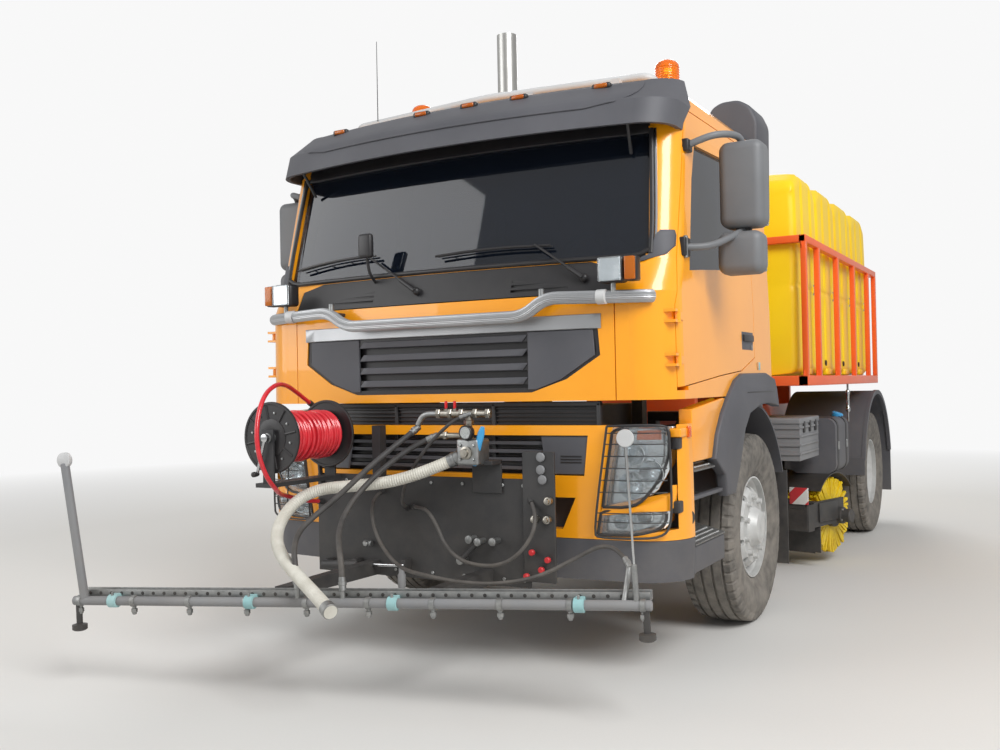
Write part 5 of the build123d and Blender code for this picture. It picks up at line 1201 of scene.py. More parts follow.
@dataclass
class Lamps:
    """The ribbed tube with its work lamps, the beacons, and the headlamps behind their wire guards.

    Attributes:
        tube_r: Radius of the tube.
        ribs: Ribs round it.
        beacon: Where a beacon's pole stands.
    """

    tube_r: float = 0.03
    ribs: int = 24
    beacon: tuple = (0.825, -0.33)

    def tube(self) -> None:
        """The tube: along its path a circle with shallow ribs round it, its ends bent back to the cab."""
        piece = Piece("lamp_tube", slot="steel")
        path = bent([(-1.12, -1.42, 1.76), (-1.1, -1.447, 1.76), (-0.86, -1.53, 1.762), (-0.64, -1.545, 1.77),
                     (-0.52, -1.545, 1.69), (0.52, -1.545, 1.69), (0.64, -1.545, 1.77), (0.86, -1.53, 1.762),
                     (1.1, -1.447, 1.76), (1.12, -1.42, 1.76)], 0.06)
        sides = self.ribs * 2
        grid = tube_grid(path, 1.0, sides)
        centre = grid.mean(axis=1, keepdims=True)
        reach = self.tube_r - 0.0022 * (np.arange(sides) % 2)
        piece.grid(centre + (grid - centre) * reach[None, :, None], TUBE_ALLOY)
        for x in (0.915, -0.915):
            piece.lathe([(0, 0.031), (0.002, 0.034), (0.042, 0.034), (0.044, 0.031)],
                        (x - 0.022, -1.521, 1.7615), Axis.X, WHITE_PAINT, 40)
        for x in (0.62, -0.62):
            piece.rod((x, -1.545, 1.775), (x, -1.545, 1.815), 0.014, ZINC)
            piece.box((x - 0.03, -1.55, 1.75), (x + 0.03, -1.46, 1.768), BLACK_STEEL)
        for x in (-0.88, 0.88):
            piece.box((x - 0.02, -1.53, 1.745), (x + 0.02, -1.462, 1.775), BLACK_STEEL)
        for x, sign in ((-0.965, -1), (0.965, 1)):
            piece.rod((x, -1.505, 1.77), (x, -1.505, 1.83), 0.012, ZINC)
            piece.box((x - 0.062, -1.54, 1.822), (x + 0.062, -1.46, 1.942), BLACK_PLASTIC, 0.018)
            piece.box((x - 0.052, -1.543, 1.832), (x + 0.052, -1.535, 1.932), REFLECTOR, 0.003)
            piece.box((x - 0.056, -1.556, 1.828), (x + 0.056, -1.545, 1.936), LENS, 0.004)
            piece.box((x + sign * 0.064, -1.53, 1.826), (x + sign * 0.122, -1.47, 1.938), BLACK_PLASTIC, 0.01)
            piece.box((x + sign * 0.068, -1.545, 1.83), (x + sign * 0.118, -1.526, 1.934), AMBER, 0.005)
        piece.place("lamp_bar")

    def beacons(self) -> None:
        """Amber domes with rings, on white bases and poles."""
        piece = Piece("beacon_pair", slot="amber")
        rings = [(0.0, 0.069)]
        for start in np.arange(7) * 0.014:
            rings += [(start + 0.012, 0.069), (start + 0.016, 0.0665), (start + 0.021, 0.0665),
                      (start + 0.025, 0.069)]
        rings += [(0.125, 0.066), (0.14, 0.056), (0.15, 0.04), (0.156, 0.02), (0.158, 0.003)]
        for z, finish, sides, profile in (
                (2.836, WHITE_PAINT, 32,
                 [(0, 0.044), (0.008, 0.044), (0.012, 0.02), (0.02, 0.013), (0.16, 0.013)]),
                (2.99, WHITE_PAINT, 48, [(0, 0.05), (0.006, 0.074), (0.03, 0.076), (0.034, 0.07)]),
                (3.023, AMBER, 48, rings),
                (3.026, REFLECTOR, 24, [(0, 0.03), (0.06, 0.026), (0.07, 0.012)])):
            piece.lathe(profile, (*self.beacon, z), Axis.Z, finish, sides)
        piece.mirror().place("beacons")

    def headlamps(self) -> None:
        """A tall lamp and a fog lamp at each corner, with an enamelled band between, behind a wire guard."""
        piece = Piece("headlamp_units", slot="lamp")
        high = ([0.80, 0.88, 1.0, 1.1, 1.165], [0.868, 0.878, 0.896, 0.912, 0.922],
                [1.02, 1.1, 1.16, 1.168, 1.168])
        fog = ([0.672, 0.7, 0.735, 0.79], [0.842, 0.846, 0.852, 0.862], [1.02, 1.12, 1.15, 1.155])
        for heights, left, right in (high, fog):
            piece.grid(BUMPER.panel(heights, [a - 0.006 for a in left], [a + 0.008 for a in right], -0.066,
                                    0.01), REFLECTOR)
            piece.grid(BUMPER.panel(heights, left, right, -0.002, 0.005, 30), LENS)
            loop = [*zip(left, heights), *zip(right[::-1], heights[::-1]), (left[0], heights[0])]
            piece.tube(BUMPER.wire(*zip(*loop), 0.0), 0.007, BLACK_PLASTIC, 8, 2)
        for x, z, r in ((1.0, 0.90, 0.062), (1.09, 0.955, 0.058), (1.02, 1.04, 0.045), (0.95, 0.735, 0.038),
                        (1.06, 0.76, 0.034)):
            y = float(BUMPER.front(x, z)) + 0.012
            piece.lathe([(0.05, 0.01), (0.05, r * 0.35), (0.035, r * 0.7), (0.0, r), (0.0, r + 0.004),
                         (0.055, r * 0.75), (0.056, 0.008)], (x, y, z), Axis.Y, REFLECTOR, 36)
            piece.lathe([(0.0, 0.004), (0.004, 0.009), (0.03, 0.009)], (x, y + 0.016, z), Axis.Y, LENS, 16)
        piece.grid(BUMPER.panel([1.108, 1.15], [1.03, 1.035], [1.13, 1.13], -0.012, 0.02, 12), AMBER)
        piece.grid(BUMPER.panel([0.76, 0.784, 0.80, 0.868, 0.90], [0.85, 0.858, 0.862, 1.166, 1.17],
                                [0.862, 1.16, 1.18, 1.186, 1.186], 0.0, 0.02, 30), CAB_PAINT)
        for z in (1.14, 1.09, 1.035, 0.98, 0.925, 0.87, 0.775, 0.735):
            x = np.linspace(float(np.interp(z, (0.67, 1.165), (0.83, 0.905))), 1.165, 9)
            piece.tube(BUMPER.wire(list(x), [z] * 9, 0.028), 0.0028, BLACK_STEEL, 6, 1)
        loop = [(0.905, 1.172), (1.0, 1.176), (1.15, 1.176), (1.175, 1.16), (1.178, 0.9), (1.175, 0.72),
                (1.14, 0.668), (1.0, 0.662), (0.86, 0.662), (0.832, 0.68), (0.905, 1.172)]
        piece.tube(BUMPER.wire(*zip(*loop), 0.028), 0.0055, BLACK_STEEL, 8, 2)
        upright = np.linspace(0, 1, 8)
        piece.tube(BUMPER.wire(list(0.985 + 0.03 * upright), list(1.17 - 0.5 * upright), 0.03), 0.004,
                   BLACK_STEEL, 6, 1)
        for z in (1.09, 0.80):
            piece.box((1.166, -1.36, z - 0.028), (1.205, -1.3, z + 0.028), BLACK_PLASTIC, 0.008)
        piece.mirror().place("headlamps")

    def build(self) -> None:
        """Makes every lamp of the front and the roof."""
        self.tube()
        self.beacons()
        self.headlamps()


@dataclass
class Steps:
    """The entry steps: an enamelled side panel, a dark well with its posts, and two perforated treads.

    Attributes:
        treads: Height at the outer edge, rise to the inner edge, inner edge and rear end of each tread.
        front: Front face of the well.
        outer: The treads' outer edge.
        stud: Distance from one raised hole to the next, across and along the truck.
    """

    treads: tuple = ((0.949, 0.039, 1.12, -0.86), (0.604, 0.04, 1.06, -0.72))
    front: float = -1.195
    outer: float = 1.217
    stud: tuple = (0.03, 0.026)

    def build(self) -> None:
        """Makes both sides in place of the CAD node; each tread has rows of raised round holes."""
        piece = Piece("step_wells", slot="dark_plastic")
        y = self.front
        piece.prism([(y, 0.992), (y, 1.24), (-0.70, 1.284), (-0.66, 1.28), (-0.757, 1.205), (-0.852, 1.10),
                     (-0.9, 0.992)], Axis.X, 1.15, 1.216, CAB_PAINT, 0.006)
        piece.prism([(y, 0.47), (y, 0.99), (-0.9, 0.99), (-0.74, 0.89), (-0.715, 0.79), (-0.712, 0.47)],
                    Axis.X, 1.0, 1.04, GREY_PLASTIC)
        piece.box((1.0, y, 0.47), (1.214, y + 0.017, 0.995), GREY_PLASTIC)
        piece.box((1.18, y + 0.01, 0.812), (1.214, -0.73, 0.83), GREY_PLASTIC)
        piece.box((1.0, y, 0.47), (1.214, -0.715, 0.598), GREY_PLASTIC, 0.012)
        piece.box((0.425, -1.15, 0.70), (1.002, -1.09, 0.78), BLACK_STEEL)
        for z, rise, inner, rear in self.treads:
            slab = [(self.outer, z - 0.004), (self.outer, z + 0.004), (inner, z + rise + 0.004),
                    (inner, z + rise - 0.004)]
            piece.prism(slab, Axis.Y, y + 0.017, rear, TREAD_PLATE, 0.001)
            across, along = self.stud
            for i in range(int((rear - y - 0.04) / along)):
                for k in range(3):
                    x = self.outer - 0.022 - across * k
                    place = (x, y + 0.036 + along * i,
                             z + rise * (self.outer - x) / (self.outer - inner) + 0.003)
                    piece.lathe([(0, 0.009), (0.005, 0.007), (0.005, 0.004), (0.001, 0.003)], place, Axis.Z,
                                ZINC, 8)
        piece.mirror().place("entry_steps")


@dataclass
class Fenders:
    """The front fenders: a flank with a round edge, the arch's liner, a flap and its bracket.

    Attributes:
        outer: The flank's outer edge as places along the truck and heights.
        inner: Its inner edge, from the rear to the front.
        liner: Inner and outer radius of the liner.
        reach: Angles in degrees at which the liner starts and ends.
    """

    outer: tuple = ((-0.71, 0.785), (-0.735, 0.895), (-0.89, 0.985), (-0.845, 1.10), (-0.75, 1.205),
                    (-0.62, 1.302), (-0.507, 1.372), (-0.374, 1.408), (0.10, 1.412), (0.29, 1.378),
                    (0.335, 1.32), (0.382, 1.21))
    inner: tuple = ((0.30, 1.222), (0.15, 1.235), (-0.026, 1.231), (-0.256, 1.188), (-0.36, 1.107),
                    (-0.42, 1.003), (-0.495, 0.884), (-0.565, 0.785))
    liner: tuple = (0.69, 0.704)
    reach: tuple = (21.7, 158.3)

    def build(self) -> None:
        """Makes both sides in place of the CAD node."""
        piece = Piece("fender_shells", slot="dark_plastic")
        piece.prism([*self.outer, *self.inner], Axis.X, 1.176, 1.236, GREY_PLASTIC, 0.012)
        turn = np.radians(np.linspace(*self.reach, 33))
        arch = np.stack([np.cos(turn), np.sin(turn)], -1)
        near, far = (arch * radius + (0.0, AXLE_Z) for radius in self.liner)
        piece.grid(prism_grid(np.vstack([near, far[::-1]]).tolist(), Axis.X, 0.84, 1.18, 0.0), GREY_PLASTIC)
        piece.box((0.86, 0.686, 0.212), (1.196, 0.696, 0.8), BLACK_PLASTIC, 0.003)
        piece.box((0.425, 0.694, 0.76), (0.9, 0.73, 0.8), BLACK_STEEL)
        # A thin black strip along the flank: painted shade in place of the shadow in its groove
        piece.box((1.2345, -0.31, 1.301), (1.2375, 0.235, 1.3075), BLACK_PLASTIC, 0.001)
        piece.mirror().place("front_fenders")


@dataclass
class Tanks:
    """Four moulded tanks in a row, and the cage that holds them.

    Attributes:
        count: How many tanks.
        pitch: Distance from one to the next.
        front: Where the first starts.
        length: Length of one.
        top: Height of their tops.
        fall: Drop from the top to the eaves.
        slope: Length of the falling shoulder.
        posts: Front faces of the cage's posts.
        reach: Front and rear end of the cage's sills and rails.
        sill: Heights of the sills' lower and upper face.
        rail: The same of the top rails.
    """

    count: int = 4
    pitch: float = 0.7
    front: float = 1.29
    length: float = 0.676
    top: float = 2.83
    fall: float = 0.09
    slope: float = 0.15
    posts: tuple = (1.232, 1.645, 2.331, 3.017, 3.703, 4.075)
    reach: tuple = (1.232, 4.12)
    sill: tuple = (1.327, 1.397)
    rail: tuple = (2.306, 2.356)

    def pod(self, start: float) -> np.ndarray:
        """One tank: its outline across the truck, drawn in round the ends and in the grooves along it.

        The draw-in along the length is a quarter circle at each end, plus two shallow flat-bottomed grooves.
        What lies above the cage is squeezed towards the eaves near the ends.

        Args:
            start: Where the tank starts.

        Returns:
            The grid, along the truck by the outline.
        """
        half = [(0.0, 1.3975), (1.09, 1.3975), (1.145, 1.44), (1.147, 1.52), (1.147, 2.0), (1.139, 2.012),
                (1.139, 2.032), (1.147, 2.045), (1.147, 2.33), (1.141, 2.70), (1.137, 2.784), (1.094, 2.829),
                (0.4, self.top)]
        outline = chaikin(np.array(half), 2)
        ring = np.vstack([outline, outline[::-1][:-1] * (-1, 1)])
        t = np.linspace(0, 1, 61)
        near = (np.minimum(t, 1 - t) * self.length)[:, None]
        round_end = 0.05 * (1 - np.sqrt(np.clip(1 - (1 - np.clip(near / 0.05, 0, 1)) ** 2, 0, 1)))
        # Two grooves, 12 mm deep; their middles, widths and flanks are shares of the tank's length
        flanks = [np.clip((0.055 - np.abs(t - middle)) / 0.012, 0, 1) for middle in (0.3, 0.7)]
        groove = sum(0.012 * flank for flank in flanks)[:, None]
        # Grooves fade near the floor and the mid seam, so that the walls stay flat there
        rise = ring[None, :, 1]
        fade = np.clip((rise - 1.46) / 0.05, 0, 1) * np.clip(np.abs(rise - 2.022) / 0.05 - 0.6, 0, 1)
        inset = round_end + groove * fade
        flat = np.clip((rise - 2.72) / 0.09, 0, 1)
        x = ring[None, :, 0] - inset * np.sign(ring[None, :, 0]) * (1 - flat)
        # The shoulders fall to the eaves at both ends of the tank
        cap = self.top - self.fall * np.clip(1 - near / self.slope, 0, 1)
        lift = np.where(rise > 2.33, 2.33 + (rise - 2.33) * (cap - 2.33) / (self.top - 2.33), rise)
        y = np.broadcast_to(start + self.length * t[:, None], x.shape)
        return np.stack([x, y, np.maximum(lift - inset * flat, 1.3975)], -1)

    def build(self) -> None:
        """Makes the tanks with lids, seam brackets and lugs, and the cage's tightener."""
        piece = Piece("tank_row", slot="tank_yellow")
        for i in range(self.count):
            start = self.front + self.pitch * i
            middle = start + self.length / 2
            piece.grid(self.pod(start), TANK_PLASTIC)
            # A black disc low on each tank's side: painted shade for a small recess with a drain port
            piece.lathe([(0, 0.022), (0.006, 0.022), (0.008, 0.016), (0.004, 0.002)],
                        (1.142, start + 0.22, 1.494), Axis.X, BLACK_PLASTIC, 20)
            for sign in (1, -1):
                piece.box((sign * 1.12, start + 0.5, 1.996), (sign * 1.15, start + 0.56, 2.05),
                          TANK_PLASTIC, 0.008)
                piece.rod((sign * 1.146, start + 0.53, 1.985), (sign * 1.146, start + 0.53, 2.06), 0.005,
                          ZINC, 10)
                piece.box((sign * 1.1, middle - 0.10, 1.40), (sign * 1.15, middle + 0.10, 1.452),
                          TANK_PLASTIC, 0.012)
            piece.lathe([(0, 0.15), (0.012, 0.15), (0.016, 0.13), (0.03, 0.13), (0.034, 0.125),
                         (0.036, 0.01)], (0.35, middle, 2.815), Axis.Z, BLACK_PLASTIC, 40)
        piece.place("water_tank", sharp=40)
        self.cage()
        piece = Piece("cage_tightener", slot="steel")
        y = 2.81
        piece.rod((1.19, y, 1.02), (1.19, y, 1.33), 0.008, ZINC)
        piece.lathe([(0, 0.012), (0.01, 0.018), (0.03, 0.018), (0.04, 0.013), (0.14, 0.013), (0.15, 0.018),
                     (0.17, 0.018), (0.18, 0.012)], (1.19, y, 1.1), Axis.Z, BRIGHT, 24)
        piece.rod((1.19, y, 1.03), (0.44, y, 1.0), 0.008, ZINC)
        piece.place()

    def cage(self) -> None:
        """Sills, top rails, thin posts and runners on both sides, and the rails and saddles between them."""
        piece = Piece("cage", slot="frame_orange")
        front, rear = self.reach
        for inner, (low, high) in ((1.155, self.sill), (1.175, self.rail)):
            piece.box((inner, front, low), (1.225, rear, high), CAGE_PAINT, 0.006)
        piece.box((0.345, 1.172, 0.99), (0.425, 4.18, 1.15), CAGE_PAINT, 0.008)
        for y in self.posts:
            piece.box((1.187, y, 1.39), (1.225, y + 0.045, 2.31), CAGE_PAINT)
            # Gussets: low and high edge, and how far they reach past the post there
            for low, high, reach_low, reach_high in ((1.396, 1.435, 0.03, 0.0), (2.262, 2.307, 0.0, 0.03)):
                piece.prism([(y - reach_low, low), (y + 0.045 + reach_low, low),
                             (y + 0.045 + reach_high, high), (y - reach_high, high)], Axis.X, 1.196, 1.202,
                            CAGE_PAINT, 0.001)
        piece.mirror()
        for y in (1.232, 1.9, 2.6, 3.3, 4.05):
            piece.box((-1.224, y, self.sill[0]), (1.224, y + 0.07, self.sill[1]), CAGE_PAINT, 0.006)
            piece.box((-0.425, y, 1.145), (0.425, y + 0.07, 1.33), CAGE_PAINT, 0.006)
        for y in (1.232, 4.07):
            piece.box((-1.224, y, self.rail[0]), (1.224, y + 0.05, self.rail[1]), CAGE_PAINT, 0.006)
        piece.place("tank_frame")


@dataclass
class SideBoxes:
    """Straps and cap of the fuel tank, lid and clasps of the battery box, and the air intake.

    Attributes:
        tank: Two corners of the fuel tank.
    """

    tank: tuple = ((0.9, 2.008, 0.664), (1.24, 2.52, 1.078))

    def strap(self, grow: float, corner: float) -> np.ndarray:
        """The tank's outline across the truck, moved outwards, with round corners."""
        (left, _, low), (right, _, high) = self.tank
        left, low, right, high = left - grow, low - grow, right + grow, high + grow
        return rounded([(left, low), (right, low), (right, high), (left, high)], corner, 8)

    def build(self) -> None:
        """Makes the fittings on the side boxes."""
        piece = Piece("fuel_tank_straps", slot="steel")
        outline, inner = self.strap(0.003, 0.075), self.strap(-0.01, 0.066)
        for y in (2.105, 2.425):
            loops = [(outline, y - 0.025), (outline, y + 0.025), (inner, y + 0.025), (inner, y - 0.025)]
            grid = np.stack([np.insert(loop, 1, at, axis=1) for loop, at in loops], 1)
            piece.grid(grid, BLACK_STEEL, ring=True)
            piece.box((1.236, y - 0.02, 0.84), (1.25, y + 0.02, 0.9), ZINC)
        piece.lathe([(0, 0.04), (0.006, 0.044), (0.03, 0.044), (0.034, 0.038), (0.038, 0.036),
                     (0.039, 0.004)], (1.168, 2.44, 1.072), (0.35, 0.0, 1.0), BLUE_PLASTIC, 36)
        piece.place()
        piece = Piece("battery_box_lid", slot="dark_plastic")
        piece.box((0.755, 1.292, 1.062), (1.148, 1.905, 1.104), LIGHT_PLASTIC, 0.01)
        for y in (1.42, 1.6, 1.78):
            piece.box((1.136, y - 0.02, 1.0), (1.152, y + 0.02, 1.08), BLACK_PLASTIC, 0.005)
        for z in (0.85, 0.91, 0.97, 1.03):
            piece.box((1.13, 1.33, z), (1.149, 1.87, z + 0.016), LIGHT_PLASTIC, 0.005)
        piece.place()
        self.intake()
        dress(GREY_PLASTIC, "fuel_tank", "rear_fenders")
        dress(LIGHT_PLASTIC, "battery_box")

    def intake(self) -> None:
        """The air intake: a foot on the rail, an upright duct, and a head that curves over the roof."""
        piece = Piece("intake_duct", slot="dark_plastic")
        head = [(0.86, 2.38), (0.834, 2.99), (0.862, 3.058), (0.925, 3.09), (1.03, 3.09), (1.106, 3.042),
                (1.148, 2.95), (1.14, 2.38)]
        piece.prism(head, Axis.Y, 0.345, 0.64, GREY_PLASTIC, 0.022, 0.03)
        piece.box((0.86, 0.4, 1.18), (1.08, 0.6, 2.385), GREY_PLASTIC, 0.02)
        piece.box((0.365, 0.44, 1.12), (1.0, 0.52, 1.182), BLACK_STEEL, 0.006)
        piece.box((0.365, 0.44, 0.992), (0.425, 0.52, 1.13), BLACK_STEEL, 0.006)
        for i in range(13):
            x, z = 0.90 + 0.015 * i, 2.945 - 0.0108 * i
            piece.box((x - 0.003, 0.339, z - 0.45), (x + 0.003, 0.35, z), GREY_PLASTIC, 0.001)
        for i in range(5):
            z = 1.5 + 0.2 * i
            piece.box((0.855, 0.395, z), (1.085, 0.605, z + 0.022), GREY_PLASTIC, 0.005)
        piece.place("air_intake")


@dataclass
class Brush:
    """The bristle roll, and the plate, lamp, motor and flaps on its frame.

    Attributes:
        centre: Middle of the roll.
        yaw: How far the roll is turned.
        length: Length over the bristles.
        radius: Radius of the bristles.
        core: Radius of the core.
        rows: Rows of tufts along the roll.
        around: Tufts in each row.
    """

    centre: tuple = (0.09, 2.37, 0.354)
    yaw: float = -15.0
    length: float = 2.34
    radius: float = 0.288
    core: float = 0.09
    rows: int = 62
    around: int = 72

    def tufts(self) -> tuple[np.ndarray, np.ndarray]:
        """All tufts at once: each is a square bar that widens and leans a little on its way out.

        Returns:
            The points and the faces.
        """
        rng = np.random.default_rng(7)
        count = self.rows * self.around
        row, turn = np.divmod(np.arange(count), self.around)
        x = (row + 0.5) / self.rows * (self.length - 0.05) - (self.length - 0.05) / 2
        angle = turn * TAU / self.around + row * 0.11
        lean = rng.normal(0, 0.05, count)
        shift = rng.normal(0, 0.006, count)
        reach = np.array([self.core - 0.004, 0.17, 0.24, 1.0])[None] * np.ones((count, 1))
        reach[:, 3] = self.radius - 0.004 - rng.uniform(0, 0.014, count)
        half = np.array([0.005, 0.006, 0.0085, 0.010])
        points = []
        for step in range(4):
            at = angle + lean * (step / 3) ** 2
            spread = half[step] / reach[:, step]
            for side, edge in ((-1, -1), (1, -1), (1, 1), (-1, 1)):
                points.append(np.stack([x + shift * step / 3 + edge * half[step],
                                        reach[:, step] * np.cos(at + side * spread),
                                        reach[:, step] * np.sin(at + side * spread)], -1))
        points = np.stack(points, 1).reshape(-1, 3)
        quads = [[a * 4 + b, a * 4 + (b + 1) % 4, a * 4 + 4 + (b + 1) % 4, a * 4 + 4 + b]
                 for a in range(3) for b in range(4)] + [[3, 2, 1, 0], [12, 13, 14, 15]]
        faces = (np.arange(count)[:, None, None] * 16 + np.array(quads)[None]).reshape(-1, 4)
        return points, faces

    def roll(self) -> None:
        """The core with its shaft, and the tufts on it."""
        piece = Piece("bristle_roll", "brush_roll", "bristle")
        half = self.length / 2
        piece.lathe([(0, 0.03), (0.04, 0.03), (0.042, 0.088), (0.05, self.core),
                     (0.03 + self.length, self.core), (0.038 + self.length, 0.088),
                     (0.04 + self.length, 0.03), (0.08 + self.length, 0.03)], (-half - 0.04, 0, 0), Axis.X,
                    BLACK_STEEL, 40)
        points, faces = self.tufts()
        piece.faces += (faces + piece.count).tolist()
        piece.marks += [piece.mark(BRISTLES)] * len(faces)
        piece.points.append(points)
        piece.count += len(points)
        piece.turn(self.centre, self.yaw)
        piece.place("brush_roll")

    def fittings(self) -> None:
        """A curved cover and flaps, and on the frame's left end a motor, a marker plate and a lamp."""
        piece = Piece("brush_fittings", "brush_arm", "dark_plastic")
        end = self.length / 2
        piece.box((end - 0.19, -0.502, -0.07), (end + 0.036, -0.408, 0.12), BLACK_PLASTIC, 0.012)
        arc = np.radians(np.linspace(38, 142, 22))
        outer = np.stack([0.32 * np.cos(arc), 0.32 * np.sin(arc)], -1)
        inner = outer[::-1] * (0.312 / 0.32)
        piece.grid(prism_grid(np.vstack([outer, inner]).tolist(), Axis.X, -end - 0.01, end + 0.005, 0.0),
                   BLACK_PLASTIC)
        piece.lathe([(0, 0.05), (0.006, 0.062), (0.03, 0.062), (0.034, 0.05), (0.09, 0.05), (0.096, 0.044)],
                    (end + 0.03, 0, 0), Axis.X, BLACK_STEEL, 32)
        for k in range(4):
            a = k * TAU / 4 + 0.6
            piece.rod((end + 0.055, 0.052 * math.cos(a), 0.052 * math.sin(a)),
                      (end + 0.072, 0.052 * math.cos(a), 0.052 * math.sin(a)), 0.009, ZINC, 6)
        piece.box((end + 0.034, -0.34, -0.02), (end + 0.046, -0.06, 0.12), BLACK_STEEL, 0.006)
        piece.box((end - 0.1, -0.515, 0.125), (end + 0.045, -0.507, 0.245), HATCH, 0.002)
        piece.box((end - 0.19, -0.52, 0.13), (end - 0.13, -0.49, 0.2), AMBER, 0.008)
        piece.box((end - 0.19, -0.505, 0.09), (end + 0.01, -0.495, 0.14), BLACK_STEEL, 0.003)
        for x in (-end + 0.1, end - 0.3):
            piece.rod((x, -0.30, 0.13), (x, -0.24, 0.27), 0.012, ZINC, 12)
        for k in range(8):
            low = -end + 0.02 + k * 0.29
            piece.box((low, -0.312, -0.25), (low + 0.275, -0.305, -0.06), BLACK_PLASTIC, 0.002)
        piece.turn(self.centre, self.yaw)
        piece.place()

    def build(self) -> None:
        """Makes the brush."""
        self.roll()
        self.fittings()
        dress(BLACK_STEEL, "brush_arm")


def hose(name: str) -> Hose:
    """The hose of a name."""
    return next(one for one in HOSES if one.name == name)


def ferrule(piece: Piece, name: str, end: int) -> None:
    """A stepped collar on a hose's end, along its last run.

    Args:
        piece: The piece that carries it.
        name: The hose.
        end: 0 for its first point, -1 for its last.
    """
    found = hose(name)
    tip, inner = np.array(found.route[end]), np.array(found.route[1 if end == 0 else -2])
    ahead = (inner - tip) / np.linalg.norm(inner - tip)
    r = found.radius
    piece.lathe([(-0.012, r + 0.001), (-0.01, r + 0.003), (0.012, r + 0.003), (0.014, r + 0.0055),
                 (0.026, r + 0.0055), (0.028, r + 0.003), (0.046, r + 0.0025), (0.048, r + 0.0008)],
                tuple(tip), tuple(ahead), ZINC, 24)


@dataclass
class Reel:
    """The hose reel: solid flanges with ribs and bolts, uneven turns of hose, the axle and its crank.

    Attributes:
        x: Its axle, across the truck.
        z: Height of the axle.
        front: Front flange.
        rear: Rear flange.
        radius: Radius of the flanges.
        core: Radius of the core.
    """

    x: float = -0.582
    z: float = 1.14
    front: float = -2.062
    rear: float = -1.642
    radius: float = 0.172
    core: float = 0.084

    def spot(self, radius: float, angle: float, y: float) -> tuple:
        """A point at a radius and an angle about the axle."""
        return self.x + radius * math.cos(angle), y, self.z + radius * math.sin(angle)

    def wound(self) -> np.ndarray:
        """The hose on the core: a helix that goes along the reel and comes back on itself."""
        t = np.linspace(0, 1, 1100)
        turns = 27
        swing = 0.5 - 0.5 * np.cos(t * TAU * 0.92)
        y = self.front + 0.035 + (self.rear - self.front - 0.07) * swing
        reach = self.core + 0.014 + 0.019 * t + 0.004 * np.sin(t * 39.0)
        angle = t * turns * TAU
        return np.stack([self.x + reach * np.cos(angle), y, self.z + reach * np.sin(angle)], -1)

    def build(self) -> None:
        """Makes the reel in place of its CAD node."""
        piece = Piece("reel_drum", "hose_reel", "dark_plastic")
        for y, out in ((self.front, -1), (self.rear, 1)):
            r, base, way = self.radius, y if out < 0 else y - 0.008, (0.0, float(out), 0.0)
            piece.lathe([(0.001, 0.02), (0.001, r - 0.014), (-0.003, r - 0.012), (-0.003, r - 0.004),
                         (0, r), (0.008, r), (0.011, r - 0.004), (0.011, r - 0.012), (0.007, r - 0.014),
                         (0.007, 0.02)], (self.x, base, self.z), Axis.Y, BLACK_PLASTIC, 72)
            face = base + (0.0 if out < 0 else 0.008)
            piece.lathe([(-0.002, 0.05), (-0.002, 0.088), (-0.001, 0.09), (0.001, 0.09), (0.002, 0.088),
                         (0.002, 0.05)], (self.x, face, self.z), Axis.Y, BLACK_PLASTIC, 48)
            for k in range(8):
                a = k * TAU / 8 + 0.2
                piece.rod(self.spot(0.09, a, face), self.spot(0.155, a, face), 0.0055, BLACK_PLASTIC, 8)
                piece.lathe([(-0.002, 0.006), (0.004, 0.006), (0.005, 0.003)],
                            self.spot(0.12, a + 0.39, face), way, ZINC, 6)
            piece.lathe([(0, 0.03), (0.012, 0.03), (0.016, 0.024), (0.03, 0.022), (0.032, 0.018)],
                        (self.x, y, self.z), way, ZINC, 32)
        piece.rod((self.x, self.front - 0.05, self.z), (self.x, self.rear + 0.036, self.z), 0.0155, ZINC, 24)
        piece.lathe([(0, self.core), (self.rear - self.front, self.core)], (self.x, self.front, self.z),
                    Axis.Y, BLACK_PLASTIC, 40)
        piece.grid(tube_grid(self.wound(), 0.0105, 9), HOSE_RED)
        y = self.front - 0.044
        tip = (self.x - 0.052, y, self.z - 0.172)
        piece.rod((self.x, y, self.z), tip, 0.0075, BRIGHT)
        piece.lathe([(-0.008, 0.016), (-0.007, 0.02), (0.007, 0.02), (0.008, 0.016)], (self.x, y, self.z),
                    Axis.Y, BRIGHT, 24)
        piece.lathe([(-0.008, 0.008), (0.0, 0.011), (0.008, 0.0115), (0.018, 0.013), (0.029, 0.0125),
                     (0.034, 0.008), (0.036, 0.002)], tip, AHEAD, BLACK_PLASTIC, 24)
        piece.place("hose_reel")


